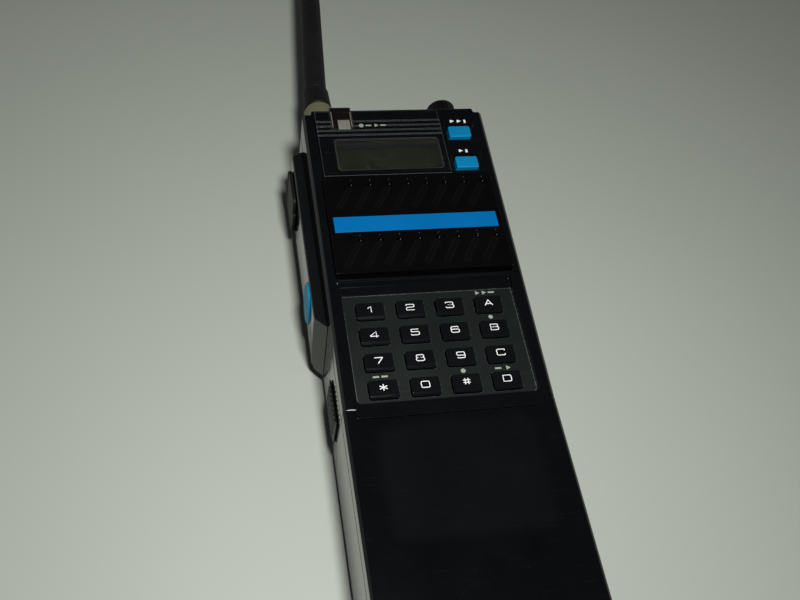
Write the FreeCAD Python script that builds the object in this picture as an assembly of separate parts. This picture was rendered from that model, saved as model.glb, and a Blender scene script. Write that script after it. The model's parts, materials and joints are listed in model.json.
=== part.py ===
import FreeCAD, Part
import math
import os

Vec = FreeCAD.Vector

# A hand-held two-way radio lying on its back, in millimetres.
# X runs across the radio, Y along it towards the antenna, Z from the back to the front face.
# The origin is on the flat back, at the middle of the casing's width and length.

# Casing
body_width = 64.0
rear_depth = 29.3
seam_height = 0.5
seam_inset = 0.4
front_low = 35.2
front_high = 39.6
battery_depth = 36.6
wall = 2.0
top_wall = 3.6
back_round = 4.5
front_edge_cut = 1.0
shoulder_width = 3.1
shoulder_drop = 1.7
corner_round = 0.7

# Lengths along the radio, from the battery's free end to the top
battery_length = 81.2
bottom_rim = 1.95
plate_length = 37.9
shelf_length = 4.85
grille_length = 39.35
display_length = 29.15
top_edge = 1.1

# Clearances
fit_gap = 0.1
key_gap_around = 0.25
slide_gap = 0.25
joint_gap = 0.15
press_reserve = 0.1
press_fit_gap = 0.05

# How far a cut runs past the face that it opens, and how deep a joined piece reaches into the other
past = 1.0
well_past = 5.0
lap = 0.5

# Battery joint: the radio's back edge reaches below the joint line
hook_drop = 4.8
hook_low = 5.0
hook_high = 12.0
tongue_length = 2.95
tongue_side = 3.6
tongue_depth = 2.7
neck_half = 14.0
neck_low = 14.0
neck_high = 24.0
neck_length = 1.6

# Keypad
plate_side = 4.55
plate_sink = 0.9
plate_thickness = 1.0
plate_floor = 1.7
plate_corner = 1.5
plate_margin_x = 4.175
plate_margin_top = 3.2
plate_margin_bottom = 1.3
key_count = 4
key_gap_x = 3.85
key_gap_y = 3.13
key_shift_x = -0.25
key_proud = 0.95
key_corner = 0.8
key_travel = 0.8
key_lip = 0.5
key_lip_thickness = 0.9
key_slope = 1.1
key_slope_drop = 0.45
key_edge = 0.2
mat_thickness = 0.8
mat_dome_foot = 2.8
mat_dome_top = 1.9
mat_rim = 1.6
mat_depth = 2.0

# Raised front parts
pod_side = 3.5
pod_face = 40.0
pod_depth = 3.5
pod_plate = 1.6
pod_wall = 1.5
ledge = 1.9
scoop_start = 1.85
scoop_bend = 0.55
scoop_low = 0.6
scoop_high = 1.9
slot_count = 8
slot_pitch = 6.4
slot_width = 2.2
slot_rounding = 0.45
slot_lean = 6.3
slot_shift_x = 0.25
upper_slot_foot = 25.3
upper_slot_rise = 10.8
lower_slot_foot = 2.3
lower_slot_rise = 10.9
stripe_foot = 15.9
stripe_height = 6.35
stripe_side = 1.4
stripe_sink = 0.6

# Display
display_left = 4.25
display_gap = 1.8
display_rise = 0.2
bezel_plate = 1.8
window_left = 5.25
window_right = 2.1
window_foot = 2.35
window_height = 13.8
window_round = 1.0
window_sink = 0.4
window_thickness = 1.2
rib_count = 4
rib_pitch = 2.1
rib_foot = 18.15
rib_height = 0.35
rib_width = 0.7
rib_root = 0.2
rib_gap_row = 2
rib_gap_left = 18.6
rib_gap_width = 10.0
lcd_border = 2.2
lcd_edge = 0.5
lcd_glass = 1.2
lcd_frame = 1.8

# Lamp on the top edge
lamp_left = 9.5
lamp_width = 7.3
lamp_length = 8.2
lamp_over = 1.2
lamp_depth = 3.4
lamp_rise = 0.3
lamp_rounding = 0.9
lamp_block_width = 4.2
lamp_block_length = 4.4
lamp_block_side = 0.8
lamp_block_sink = 0.1

# Blue front buttons
button_side = 9.9
button_width = 7.8
button_length = 5.0
button_below_top = 10.3
button_pitch = 13.65
button_proud = 1.0
button_travel = 0.8
button_lip = 0.8
button_lip_thickness = 1.0
button_edge = 0.25
well_depth = 0.9
well_left = 0.8
well_right = 2.2
well_below = 0.4
well_above = 1.9
switch_half = 3.0
switch_tip_radius = 1.7
switch_tip = 1.2

# Top controls
socket_side = 8.5
socket_stem = 3.9
socket_nut = 4.9
socket_nut_height = 2.6
socket_flange = 5.4
socket_rise = 3.2
stud_radius = 2.8
stud_gap = 0.15
stud_length = 8.0
socket_tail = 1.2
collar_radius = 5.3
collar_length = 11.7
collar_foot_cut = 0.3
collar_foot_rise = 0.6
collar_head_cut = 0.5
collar_head_drop = 1.2
boot_radius = 5.1
boot_tip_radius = 4.75
boot_length = 9.1
boot_foot_cut = 0.4
boot_foot_rise = 0.6
boot_head_cut = 0.6
boot_head_drop = 0.7
whip_radius = 4.1
whip_tip_radius = 3.2
whip_length = 131.0
whip_lean = 4.2
core_radius = 1.3
core_gap = 0.3
core_end = 6.0
whip_tip_cut = 1.44
knob_side = 9.5
knob_radius = 5.4
knob_height = 14.5
knob_grooves = 16
knob_groove = 0.45
knob_groove_foot = 1.6
knob_edge = 0.8
knob_mark_half = 0.4
knob_mark_depth = 0.4
knob_stand = 0.5
shaft_radius = 2.0
shaft_gap = 0.15
control_radius = 4.8
control_depth = 4.6
control_floor = 1.0
bush_radius = 3.4

# Side grip with the talk button and the jacks
grip_width = 3.9
grip_back = 4.5
grip_foot = 32.2
grip_length = 73.0
grip_slope = 4.0
grip_lean = 3.0
grip_wall = 1.2
grip_cut = 1.6
grip_cut_end = 0.3
grip_cut_rise = 2.4
grip_edge_rise = 6.0
grip_face_cut = 0.6
grip_head_slope = 2.25
grip_head_bend = 1.45
grip_hollow_foot = 2.0
grip_hollow_head = 4.0
talk_along = 48.05
talk_height = 19.6
talk_half_length = 5.9
talk_half_height = 8.0
talk_lip = 0.45
talk_lip_thickness = 0.8
talk_proud = 0.65
talk_travel = 1.5
talk_plunger = 2.5
talk_reach = 0.45
talk_edge = 0.4
talk_switch_half = 4.0
jack_along = 89.05
jack_pitch = 7.0
jack_height = 17.5
jack_radius = 3.1
jack_bore_large = 1.75
jack_bore_small = 1.25
jack_bore_depth = 6.5
jack_sink = 0.2
cover_foot = 4.0
cover_length = 13.8
cover_half_height = 8.5
cover_thickness = 1.15
cover_gap = 0.15
cover_knuckle = 0.75
cover_corner = 2.0
cover_tab = 1.4
cover_tab_half = 3.0
cover_tab_corner = 0.85
cover_knuckle_side = 1.0
cover_knuckle_reach = 0.3

# Battery latch
latch_foot = 2.2
latch_length = 16.0
latch_low = 10.0
latch_high = 22.0
latch_cap = 0.5
latch_ridge = 0.45
latch_ridge_pitch = 1.6
latch_ridge_half = 0.5
latch_ridge_crest = 0.15
latch_ridge_side = 0.8
latch_corner = 1.0
latch_travel = 3.0
latch_stem_length = 8.0
latch_stem_half = 3.0
latch_pad = 1.4
latch_pad_over = 2.0
latch_pad_half = 5.0
latch_tongue = 1.0

# Inside the radio
chassis_height = 15.0
chassis_plate = 1.5
rail_side = 4.8
rail_width = 1.7
rail_top_gap = 9.25
chassis_foot = 3.75
chassis_head_gap = 0.65
pillar_side = 3.5
pillar_foot = 26.0
pillar_drop = 11.0
post_radius = 3.6
screw_radius = 1.45
screw_play = 0.05
screw_head_radius = 2.6
screw_head_height = 2.4
screw_head_sink = 0.6
screw_head_gap = 0.2
screw_slot_half = 1.5
screw_slot_width = 0.6
long_screw_end = 25.0
upper_screw_x = 9.0
upper_screw_drop = 7.75
front_post_radius = 3.2
board_thickness = 1.6
board_side = 3.5
main_board_drop = 3.0
main_board_foot = 0.8
pillar_radius = 2.0
shield_height = 3.6
shield_wall = 0.5
shield_side = 3.5
shield_foot = 21.5
shield_length = 55.0
insert_radius = 2.4
insert_bore = 1.25
insert_depth = 6.0
insert_floor = 0.5
insert_spacing = 30.0
insert_middle = 35.0
insert_post = 4.0
speaker_radius = 18.0
speaker_rim = 1.8
speaker_depth = 14.4
speaker_flange = 1.3
speaker_sheet = 0.9
speaker_gap = 1.2
cone_gap = 0.3
cone_roll = 1.5
cone_sheet = 0.6
cone_neck = 1.0
coil_radius = 5.4
dust_cap = 3.5
magnet_radius = 9.5
magnet_height = 6.0
mic_radius = 4.2
mic_height = 4.4
mic_side = 7.5
mic_foot = 5.9
contact_count = 4
contact_pitch = 6.6
contact_radius = 1.6
contact_length = 1.0
contact_proud = 0.15
holder_side = 2.0
holder_rise = 1.5
chip_columns = 3
chip_rows = 5
chip_width = 9.0
chip_length = 6.0
chip_height = 2.4
chip_side = 7.5
chip_pitch_y = 13.0
chip_foot = 17.0

# Inside the battery
cell_radius = 7.1
cell_length = 50.0
cell_gap = 0.15
cell_nub = 1.5
cell_nub_radius = 2.84
spacer_side = 0.6
stud_plate_radius = 2.2
stud_plate_depth = 0.9
stud_plate_sink = 0.3
stud_plate_spacing = 30.0
stud_plate_along = 12.0

# Places worked out from the sizes above
half = body_width / 2
radio_length = bottom_rim + plate_length + shelf_length + grille_length + display_length + top_edge
bottom = -(battery_length + radio_length) / 2
split = bottom + battery_length
plate_bottom = split + bottom_rim
plate_top = plate_bottom + plate_length
grille_bottom = plate_top + shelf_length
grille_top = grille_bottom + grille_length
display_top = grille_top + display_length
top = display_top + top_edge
front_start = rear_depth + seam_height
plate_half = half - plate_side
plate_face = front_low - plate_sink
plate_under = plate_face - plate_thickness
keypad_ceiling = plate_under - plate_floor
pod_half = half - pod_side
pod_seat = pod_face - pod_depth
pod_ceiling = pod_seat - ledge
cavity_half = half - wall
cavity_bottom = split + wall
cavity_top = top - top_wall
key_gaps = key_count - 1
key_width = (2 * plate_half - 2 * plate_margin_x - key_gaps * key_gap_x) / key_count
key_length = (plate_length - plate_margin_top - plate_margin_bottom - key_gaps * key_gap_y) / key_count
key_columns = [key_shift_x + (key_width + key_gap_x) * (i - key_gaps / 2) for i in range(key_count)]
key_first_row = plate_top - plate_margin_top - key_length / 2
key_rows = [key_first_row - (key_length + key_gap_y) * i for i in range(key_count)]
key_names = [["1", "2", "3", "a"], ["4", "5", "6", "b"], ["7", "8", "9", "c"], ["star", "0", "hash", "d"]]
key_lip_top = plate_under - slide_gap
key_bottom = key_lip_top - key_lip_thickness
mat_top = key_bottom - key_travel - press_reserve
keys_half = (key_count * key_width + key_gaps * key_gap_x) / 2
keypad_window_half = keys_half + key_lip + 2 * slide_gap - key_shift_x
keypad_window_top = key_rows[0] + key_length / 2 + key_lip + slide_gap
keypad_window_bottom = key_rows[-1] - key_length / 2 - key_lip - slide_gap
board_top = keypad_ceiling - mat_depth
board_bottom = board_top - board_thickness
rail_outer = half - rail_side
rail_inner = rail_outer - rail_width
chassis_bottom = split + chassis_foot
rail_top = top - rail_top_gap
lower_screw_x = rail_inner - post_radius - slide_gap
lower_screw_y = chassis_bottom + post_radius + slide_gap
upper_screw_y = top - upper_screw_drop
main_board_top = chassis_height - main_board_drop
main_board_bottom = main_board_top - board_thickness
speaker_y = (grille_bottom + grille_top) / 2
chip_pitch_x = (rail_inner - chip_side - chip_width / 2) / ((chip_columns - 1) / 2)
controls_height = rear_depth - socket_nut
socket_x = socket_side - half
knob_x = half - knob_side
talk_x = -half - grip_width
talk_y = split + talk_along
jack_y = [split + jack_along + jack_pitch * i for i in range(2)]
button_x = half - button_side
button_rows = [display_top - button_below_top, display_top - button_below_top - button_pitch]
lamp_x = lamp_left - half
display_right = button_side + button_width / 2 + button_lip + display_gap
display_width = body_width - display_left - display_right
window_x = display_left + window_left - half
window_width = display_width - window_left - window_right
window_y = grille_top + window_foot
bezel_face = pod_face + display_rise
bezel_under = bezel_face - bezel_plate
lens_face = bezel_face - window_sink
lens_under = lens_face - window_thickness
collar_start = top + socket_rise + slide_gap
boot_start = collar_start + collar_length
whip_start = boot_start + boot_length
cells_bottom = bottom + wall + cell_gap
battery_cavity_top = split - hook_drop - wall
cell_pitch = 2 * cell_radius + cell_gap
cells_across = int((2 * cavity_half - cell_gap) / cell_pitch)
cell_layers = int((front_low - 2 * wall - cell_gap) / cell_pitch)


def front_at(y):
    return front_low + (front_high - front_low) * (y - split) / radio_length


def block(x0, x1, y0, y1, z0, z1):
    return Part.makeBox(x1 - x0, y1 - y0, z1 - z0, Vec(x0, y0, z0))


def rod_x(x0, x1, y, z, radius):
    return Part.makeCylinder(radius, x1 - x0, Vec(x0, y, z), Vec(1, 0, 0))


def rod_y(x, y0, y1, z, radius):
    return Part.makeCylinder(radius, y1 - y0, Vec(x, y0, z), Vec(0, 1, 0))


def rod_z(x, y, z0, z1, radius):
    return Part.makeCylinder(radius, z1 - z0, Vec(x, y, z0), Vec(0, 0, 1))


def prism(corners, axis, start, end):
    places = {"x": lambda u, v: Vec(start, u, v),
              "y": lambda u, v: Vec(u, start, v),
              "z": lambda u, v: Vec(u, v, start)}
    points = [places[axis](u, v) for u, v in corners]
    face = Part.Face(Part.makePolygon(points + [points[0]]))
    steps = {"x": Vec(end - start, 0, 0), "y": Vec(0, end - start, 0), "z": Vec(0, 0, end - start)}
    return face.extrude(steps[axis])


def turned_z(corners, x, y):
    points = [Vec(x + r, y, z) for r, z in corners]
    face = Part.Face(Part.makePolygon(points + [points[0]]))
    return face.revolve(Vec(x, y, 0), Vec(0, 0, 1), 360)


def turned_y(corners, x, z):
    points = [Vec(x + r, y, z) for r, y in corners]
    face = Part.Face(Part.makePolygon(points + [points[0]]))
    return face.revolve(Vec(x, 0, z), Vec(0, 1, 0), 360)


def middle(edge):
    return edge.BoundBox.Center


def runs_along(edge, axis):
    box = edge.BoundBox
    spans = {"x": box.XLength, "y": box.YLength, "z": box.ZLength}
    others = sum(length for name, length in spans.items() if name != axis)
    return spans[axis] > 0.1 and others < 0.001


def rounded(shape, radius, axis, chosen=lambda place: True):
    edges = [edge for edge in shape.Edges if runs_along(edge, axis) and chosen(middle(edge))]
    return shape.makeFillet(radius, edges)


def rounded_block(x0, x1, y0, y1, z0, z1, radius, axis="z"):
    return rounded(block(x0, x1, y0, y1, z0, z1), radius, axis)


def oval_x(x0, x1, y, z, half_length, half_height):
    disc = Part.makeCylinder(1.0, x1 - x0, Vec(0, 0, 0), Vec(1, 0, 0))
    stretch = FreeCAD.Matrix()
    stretch.scale(1.0, half_length, half_height)
    oval = disc.transformGeometry(stretch)
    oval.translate(Vec(x0, y, z))
    return oval


def casing_plan(z0, z1, foot, inset=0.0):
    side = half - inset
    inner = half - shoulder_width - inset
    shoulder = top - shoulder_drop - inset
    corners = [(-side, foot), (side, foot), (side, shoulder), (inner, shoulder), (inner, top - inset),
               (-inner, top - inset), (-inner, shoulder), (-side, shoulder)]
    solid = prism(corners, "z", z0, z1)
    return rounded(solid, corner_round, "z", lambda place: place.y > shoulder - past)


def radio_end(z_top, gap=0.0):
    return [(split - hook_drop - gap, -past), (split - hook_drop - gap, hook_low), (split - gap, hook_high),
            (split - gap, z_top), (top + past, z_top), (top + past, -past)]


def cut_front_edges(shape, low):
    edges = []
    for edge in shape.Edges:
        on_side = abs(abs(middle(edge).x) - half) < 0.01
        if on_side and edge.BoundBox.YLength > edge.BoundBox.ZLength and middle(edge).z > low + past:
            edges.append(edge)
    return shape.makeChamfer(front_edge_cut, edges)


def make_rear_shell():
    outer = block(-half, half, split - hook_drop, top, 0, rear_depth)
    outer = rounded(outer, back_round, "y", lambda place: place.z < past)
    outer = outer.common(casing_plan(-past, rear_depth + past, split - hook_drop))
    outer = outer.common(prism(radio_end(rear_depth), "x", -half, half))
    cavity = block(-cavity_half, cavity_half, cavity_bottom, cavity_top, wall, rear_depth + past)
    cavity = rounded(cavity, back_round - wall, "y", lambda place: place.z < wall + lap)
    shell = outer.cut(cavity)
    for x, y in screw_places():
        shell = shell.fuse(rod_z(x, y, wall / 2, chassis_height, post_radius))
    for y in insert_places():
        shell = shell.fuse(rod_z(0, y, wall / 2, insert_depth + insert_floor, insert_post))
    for x, y in screw_places():
        head_end = screw_head_sink + screw_head_height
        shell = shell.cut(rod_z(x, y, -past, head_end, screw_head_radius + screw_head_gap))
        shell = shell.cut(rod_z(x, y, 0, chassis_height + past, screw_radius + fit_gap))
    for y in insert_places():
        shell = shell.cut(rod_z(0, y, -past, insert_depth, insert_radius))
    for opening in top_openings() + side_openings() + end_openings():
        shell = shell.cut(opening)
    return shell.removeSplitter()


def top_openings():
    socket_hole = rod_y(socket_x, cavity_top - past, top + past, controls_height, socket_stem + press_fit_gap)
    control_hole = rod_y(knob_x, cavity_top - past, top + past, controls_height, bush_radius + press_fit_gap)
    return [socket_hole, control_hole]


def side_openings():
    outer = -half - past
    inner = -cavity_half + past
    openings = [rod_x(outer, inner, talk_y, talk_height, talk_plunger + slide_gap)]
    for y in jack_y:
        openings.append(rod_x(outer, inner, y, jack_height, jack_radius + press_fit_gap))
    low, high = latch_stem_span()
    reach = latch_stem_half + slide_gap
    openings.append(block(outer, inner, low - slide_gap, high + latch_travel + slide_gap,
                          latch_middle() - reach, latch_middle() + reach))
    return openings


def end_openings():
    outer = split - past
    inner = cavity_bottom + past
    reach = latch_stem_half + slide_gap
    tongue_x = latch_pad_x()[0]
    tongue_slot = block(tongue_x - slide_gap, tongue_x + latch_tongue + slide_gap, outer, inner,
                        latch_middle() - reach, latch_middle() + reach)
    neck_slot = block(-neck_half - slide_gap, neck_half + slide_gap, outer, inner,
                      neck_low - slide_gap, neck_high + slide_gap)
    return [tongue_slot, neck_slot]


def screw_places():
    return [(-lower_screw_x, lower_screw_y), (lower_screw_x, lower_screw_y),
            (-upper_screw_x, upper_screw_y), (upper_screw_x, upper_screw_y)]


def insert_places():
    return [insert_middle - insert_spacing / 2, insert_middle + insert_spacing / 2]


def make_front_shell():
    head = top + past
    side = [(split, front_start), (head, front_start), (head, front_at(head)), (split, front_low)]
    outer = cut_front_edges(prism(side, "x", -half, half), front_start)
    outer = outer.common(casing_plan(front_start - past, pod_face + well_past, split - past))
    tongue_half = half - tongue_side
    shell = outer.fuse(block(-tongue_half, tongue_half, split - tongue_length, split + past,
                             front_low - tongue_depth, front_low))
    shell = shell.cut(block(-cavity_half, cavity_half, cavity_bottom, grille_bottom,
                            front_start - past, keypad_ceiling))
    shell = shell.cut(block(-cavity_half, cavity_half, grille_bottom - lap, cavity_top,
                            front_start - past, pod_ceiling))
    post_foot = chassis_height + chassis_plate
    for x in (-upper_screw_x, upper_screw_x):
        shell = shell.fuse(rod_z(x, upper_screw_y, post_foot, pod_ceiling + lap, front_post_radius))
        shell = shell.cut(rod_z(x, upper_screw_y, post_foot - past, long_screw_end + past,
                                screw_radius + screw_play))
    shell = shell.cut(keypad_recess())
    shell = shell.cut(block(-keypad_window_half, keypad_window_half, keypad_window_bottom, keypad_window_top,
                            keypad_ceiling - past, plate_under + past))
    for pocket in pod_pockets():
        shell = shell.cut(pocket)
    for y in button_rows:
        shell = shell.cut(button_well(y))
    return shell.removeSplitter()


# The keypad's recess rises in a scoop to the foot of the grille
def keypad_recess():
    foot = plate_bottom - fit_gap
    head = plate_top + fit_gap
    face = pod_face + well_past
    side = [(foot, plate_under), (head, plate_under), (head, plate_face),
            (grille_bottom - scoop_start, plate_face + scoop_low),
            (grille_bottom - scoop_bend, plate_face + scoop_high), (grille_bottom, face), (foot, face)]
    recess = prism(side, "x", -plate_half - fit_gap, plate_half + fit_gap)
    return rounded(recess, plate_corner, "z", lambda place: place.y < plate_bottom + past)


# The grille, the display bezel and the lamp lie in pockets
def pod_pockets():
    face = pod_face + well_past
    left = display_left - half
    right = left + display_width
    border = lcd_border
    return [block(-pod_half - fit_gap, pod_half + fit_gap, grille_bottom, grille_top, pod_seat, face),
            rod_z(0, speaker_y, pod_ceiling - past, pod_seat + past, speaker_radius - speaker_rim),
            block(left - fit_gap, right + fit_gap, grille_top - lap, display_top + fit_gap, pod_seat, face),
            block(window_x - border, window_x + window_width + border, window_y - border,
                  window_y + window_height + border, pod_ceiling - past, pod_seat + past),
            block(lamp_x - fit_gap, lamp_x + lamp_width + fit_gap, display_top - past, top + past,
                  bezel_face - lamp_depth, face)]


# Each blue button has a shallow well with a shaft through its floor
def button_well(y):
    left = button_x - button_width / 2
    right = button_x + button_width / 2
    low = y - button_length / 2
    high = y + button_length / 2
    gap = key_gap_around
    face = pod_face + well_past
    well = block(left - well_left, right + well_right, low - well_below, high + well_above,
                 front_at(y) - well_depth, face)
    shaft = rounded_block(left - gap, right + gap, low - gap, high + gap, pod_ceiling - past, face,
                          corner_round)
    return well.fuse(shaft)


def make_case_seal():
    ring = casing_plan(rear_depth, front_start, split + seam_inset, seam_inset)
    ring = ring.cut(block(-cavity_half, cavity_half, cavity_bottom, cavity_top,
                          rear_depth - past, front_start + past))
    return ring.removeSplitter()


def make_speaker_grille():
    head = grille_top - fit_gap
    shape = block(-pod_half, pod_half, grille_bottom, head, pod_seat, pod_face)
    shape = rounded(shape, corner_round, "z", lambda place: place.y < grille_bottom + past)
    side = pod_half - pod_wall
    shape = shape.cut(block(-side, side, grille_bottom + pod_wall, head - pod_wall,
                            pod_seat - past, pod_face - pod_plate))
    for foot, rise in ((upper_slot_foot, upper_slot_rise), (lower_slot_foot, lower_slot_rise)):
        for i in range(slot_count):
            x = slot_shift_x + slot_pitch * (i - (slot_count - 1) / 2) - slot_lean / 2
            shape = shape.cut(make_slot(x, grille_bottom + foot, slot_lean, rise))
    return shape.cut(stripe_box(0.0, pod_face + past)).removeSplitter()


def make_slot(x, y, across, rise):
    length = math.hypot(across, rise)
    slot = rounded_block(0, length, -slot_width / 2, slot_width / 2, pod_seat - past, pod_face + past,
                         slot_width * slot_rounding)
    slot.rotate(Vec(0, 0, 0), Vec(0, 0, 1), math.degrees(math.atan2(rise, across)))
    slot.translate(Vec(x, y, 0))
    return slot


def stripe_box(gap, face):
    side = pod_half - stripe_side - gap
    foot = grille_bottom + stripe_foot
    return block(-side, side, foot + gap, foot + stripe_height - gap, pod_face - stripe_sink, face)


def make_stripe_plate():
    return stripe_box(fit_gap, pod_face)


def make_display_bezel():
    left = display_left - half
    right = left + display_width
    foot = grille_top
    shape = block(left, right, foot, display_top, pod_seat, bezel_face)
    shape = shape.cut(block(left + pod_wall, right - pod_wall, foot + pod_wall, display_top - pod_wall,
                            pod_seat - past, bezel_under))
    shape = shape.cut(rounded_block(window_x, window_x + window_width, window_y, window_y + window_height,
                                    pod_seat - past, bezel_face + past, window_round))
    for i in range(rib_count):
        shape = shape.fuse(make_rib(foot + rib_foot + rib_pitch * i, left + fit_gap, right))
    gap_x = rib_gap_left - half
    gap_y = foot + rib_foot + rib_pitch * rib_gap_row
    shape = shape.cut(block(gap_x, gap_x + rib_gap_width, gap_y - rib_width, gap_y + rib_width,
                            bezel_face, bezel_face + well_past))
    lamp_foot = top - lamp_length - top_edge
    shape = shape.cut(block(lamp_x - fit_gap, lamp_x + lamp_width + fit_gap, lamp_foot - fit_gap, top + past,
                            pod_seat - past, bezel_face + well_past))
    return shape.removeSplitter()


def make_rib(y, left, right):
    root = rib_width / 2
    crest = rib_width / 4
    low = bezel_face - rib_root
    high = bezel_face + rib_height
    return prism([(y - root, low), (y + root, low), (y + crest, high), (y - crest, high)], "x", left, right)


def make_display_window():
    gap = press_fit_gap
    return rounded_block(window_x + gap, window_x + window_width - gap, window_y + gap,
                         window_y + window_height - gap, lens_under, lens_face, window_round)


def make_lcd_module():
    inset = lcd_border - slide_gap
    inner_right = display_left - half + display_width - pod_wall - fit_gap
    inner_foot = grille_top + pod_wall + fit_gap
    x0 = window_x - inset
    x1 = min(window_x + window_width + inset, inner_right)
    y0 = max(window_y - inset, inner_foot)
    y1 = window_y + window_height + inset
    frame_top = bezel_under - lcd_glass
    glass = block(x0 + lcd_edge, x1 - lcd_edge, y0 + lcd_edge, y1 - lcd_edge, frame_top, bezel_under)
    frame = block(x0, x1, y0, y1, frame_top - lcd_frame, frame_top)
    return glass.fuse(frame).removeSplitter()


def lamp_block_box(gap=0.0):
    right = lamp_x + lamp_width - lamp_block_side
    foot = top - lamp_length - top_edge
    return block(right - lamp_block_width - gap, right + gap, foot, foot + lamp_block_length + gap,
                 bezel_face - lamp_depth, bezel_face - lamp_block_sink)


def make_light_pipe():
    foot = top - lamp_length - top_edge
    pipe = block(lamp_x, lamp_x + lamp_width, foot, top + lamp_over,
                 bezel_face - lamp_depth, bezel_face + lamp_rise)
    edges = [edge for edge in pipe.Edges if runs_along(edge, "x") and middle(edge).y > top]
    pipe = pipe.makeFillet(lamp_over * lamp_rounding, edges)
    slot = lamp_block_box(press_fit_gap)
    slot = slot.fuse(slot.translated(Vec(0, 0, past)))
    return pipe.cut(slot).removeSplitter()


def make_keypad_plate():
    plate = block(-plate_half, plate_half, plate_bottom, plate_top, plate_under, plate_face)
    plate = rounded(plate, plate_corner, "z", lambda place: place.y < plate_bottom + past)
    for x in key_columns:
        for y in key_rows:
            plate = plate.cut(key_outline(x, y, key_gap_around, plate_under - past, plate_face + past,
                                          key_corner + key_gap_around))
    return plate.removeSplitter()


def key_outline(x, y, gap, z0, z1, corner):
    across = key_width / 2 + gap
    along = key_length / 2 + gap
    return rounded_block(x - across, x + across, y - along, y + along, z0, z1, corner)


def make_key(x, y):
    key_top = plate_face + key_proud
    low = y - key_length / 2
    high = y + key_length / 2
    slope_foot = key_top - key_slope_drop
    side = [(low, key_bottom), (high, key_bottom), (high, key_top - key_edge), (high - key_edge, key_top),
            (low + key_slope, key_top), (low + key_edge, slope_foot), (low, slope_foot - key_edge)]
    cap = prism(side, "x", x - key_width / 2, x + key_width / 2)
    cap = cap.common(key_outline(x, y, 0.0, key_bottom, key_top, key_corner))
    lip = key_outline(x, y, key_lip, key_bottom, key_lip_top, key_corner)
    return cap.fuse(lip).removeSplitter()


def make_keypad_mat():
    side = keypad_window_half + mat_rim
    head = keypad_window_top + mat_rim
    rim_side = keypad_window_half + slide_gap
    mat = block(-side, side, cavity_bottom + slide_gap, head, board_top, board_top + mat_thickness)
    mat = mat.fuse(block(-side, -rim_side, keypad_window_bottom, head, board_top, keypad_ceiling))
    mat = mat.fuse(block(rim_side, side, keypad_window_bottom, head, board_top, keypad_ceiling))
    mat = mat.fuse(block(-side, side, keypad_window_top + slide_gap, head, board_top, keypad_ceiling))
    foot = board_top + mat_thickness / 2
    for x in key_columns:
        for y in key_rows:
            mat = mat.fuse(Part.makeCone(mat_dome_foot, mat_dome_top, mat_top - foot, Vec(x, y, foot)))
    return mat.removeSplitter()


def make_front_board():
    side = half - board_side
    low = board_bottom - past
    high = board_top + past
    board = block(-side, side, cavity_bottom + slide_gap, rail_top, board_bottom, board_top)
    board = board.cut(rod_z(0, speaker_y, low, high, speaker_radius + speaker_gap))
    for x in (-upper_screw_x, upper_screw_x):
        board = board.cut(rod_z(x, upper_screw_y, low, high, front_post_radius + slide_gap))
    return board.removeSplitter()


def make_blue_button(y):
    lip_top = pod_ceiling - fit_gap
    lip_bottom = lip_top - button_lip_thickness
    face = front_at(y) + button_proud
    across = button_width / 2
    along = button_length / 2
    cap = rounded_block(button_x - across, button_x + across, y - along, y + along, lip_bottom, face,
                        corner_round)
    edges = [edge for edge in cap.Edges if middle(edge).z > face - 0.01]
    cap = cap.makeChamfer(button_edge, edges)
    lip = block(button_x - across - button_lip, button_x + across + button_lip,
                y - along - button_lip, y + along + button_lip, lip_bottom, lip_top)
    return cap.fuse(lip).removeSplitter()


def make_button_switches():
    pieces = []
    switch_top = pod_ceiling - fit_gap - button_lip_thickness - button_travel - press_reserve
    shoulder = switch_top - switch_tip
    for y in button_rows:
        low = y - switch_half
        high = min(y + switch_half, rail_top)
        body = block(button_x - switch_half, button_x + switch_half, low, high, board_top, shoulder)
        tip = rod_z(button_x, (low + high) / 2, shoulder - press_reserve, switch_top, switch_tip_radius)
        pieces.append(body.fuse(tip).removeSplitter())
    return Part.makeCompound(pieces)


def make_volume_control():
    start = cavity_top - control_depth
    body = rod_y(knob_x, start, cavity_top, controls_height, control_radius)
    bush = rod_y(knob_x, cavity_top, top, controls_height, bush_radius)
    bore = rod_y(knob_x, start + control_floor, top + past, controls_height, shaft_radius + shaft_gap)
    return body.fuse(bush).cut(bore).removeSplitter()


def make_volume_knob():
    start = top + knob_stand
    end = start + knob_height
    profile = [(0, start), (knob_radius, start), (knob_radius, end - knob_edge),
               (knob_radius - knob_edge, end), (0, end)]
    knob = turned_y(profile, knob_x, controls_height)
    for i in range(knob_grooves):
        angle = 2 * math.pi * i / knob_grooves
        x = knob_x + knob_radius * math.sin(angle)
        z = controls_height + knob_radius * math.cos(angle)
        knob = knob.cut(rod_y(x, start + knob_groove_foot, end + past, z, knob_groove))
    mark = block(knob_x - knob_mark_half, knob_x + knob_mark_half, end - knob_mark_depth, end + past,
                 controls_height, controls_height + knob_radius + past)
    shaft_start = cavity_top - control_depth + control_floor + slide_gap
    shaft = rod_y(knob_x, shaft_start, start + past, controls_height, shaft_radius)
    return knob.cut(mark).fuse(shaft).removeSplitter()


def make_antenna_socket():
    inner = cavity_top - socket_nut_height
    shape = rod_y(socket_x, inner - socket_tail, top, controls_height, socket_stem)
    shape = shape.fuse(rod_y(socket_x, inner, cavity_top, controls_height, socket_nut))
    shape = shape.fuse(rod_y(socket_x, top, top + socket_rise, controls_height, socket_flange))
    bore_start = collar_start - stud_length - slide_gap
    bore = rod_y(socket_x, bore_start, top + socket_rise + past, controls_height, stud_radius + stud_gap)
    return shape.cut(bore).removeSplitter()


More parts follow.
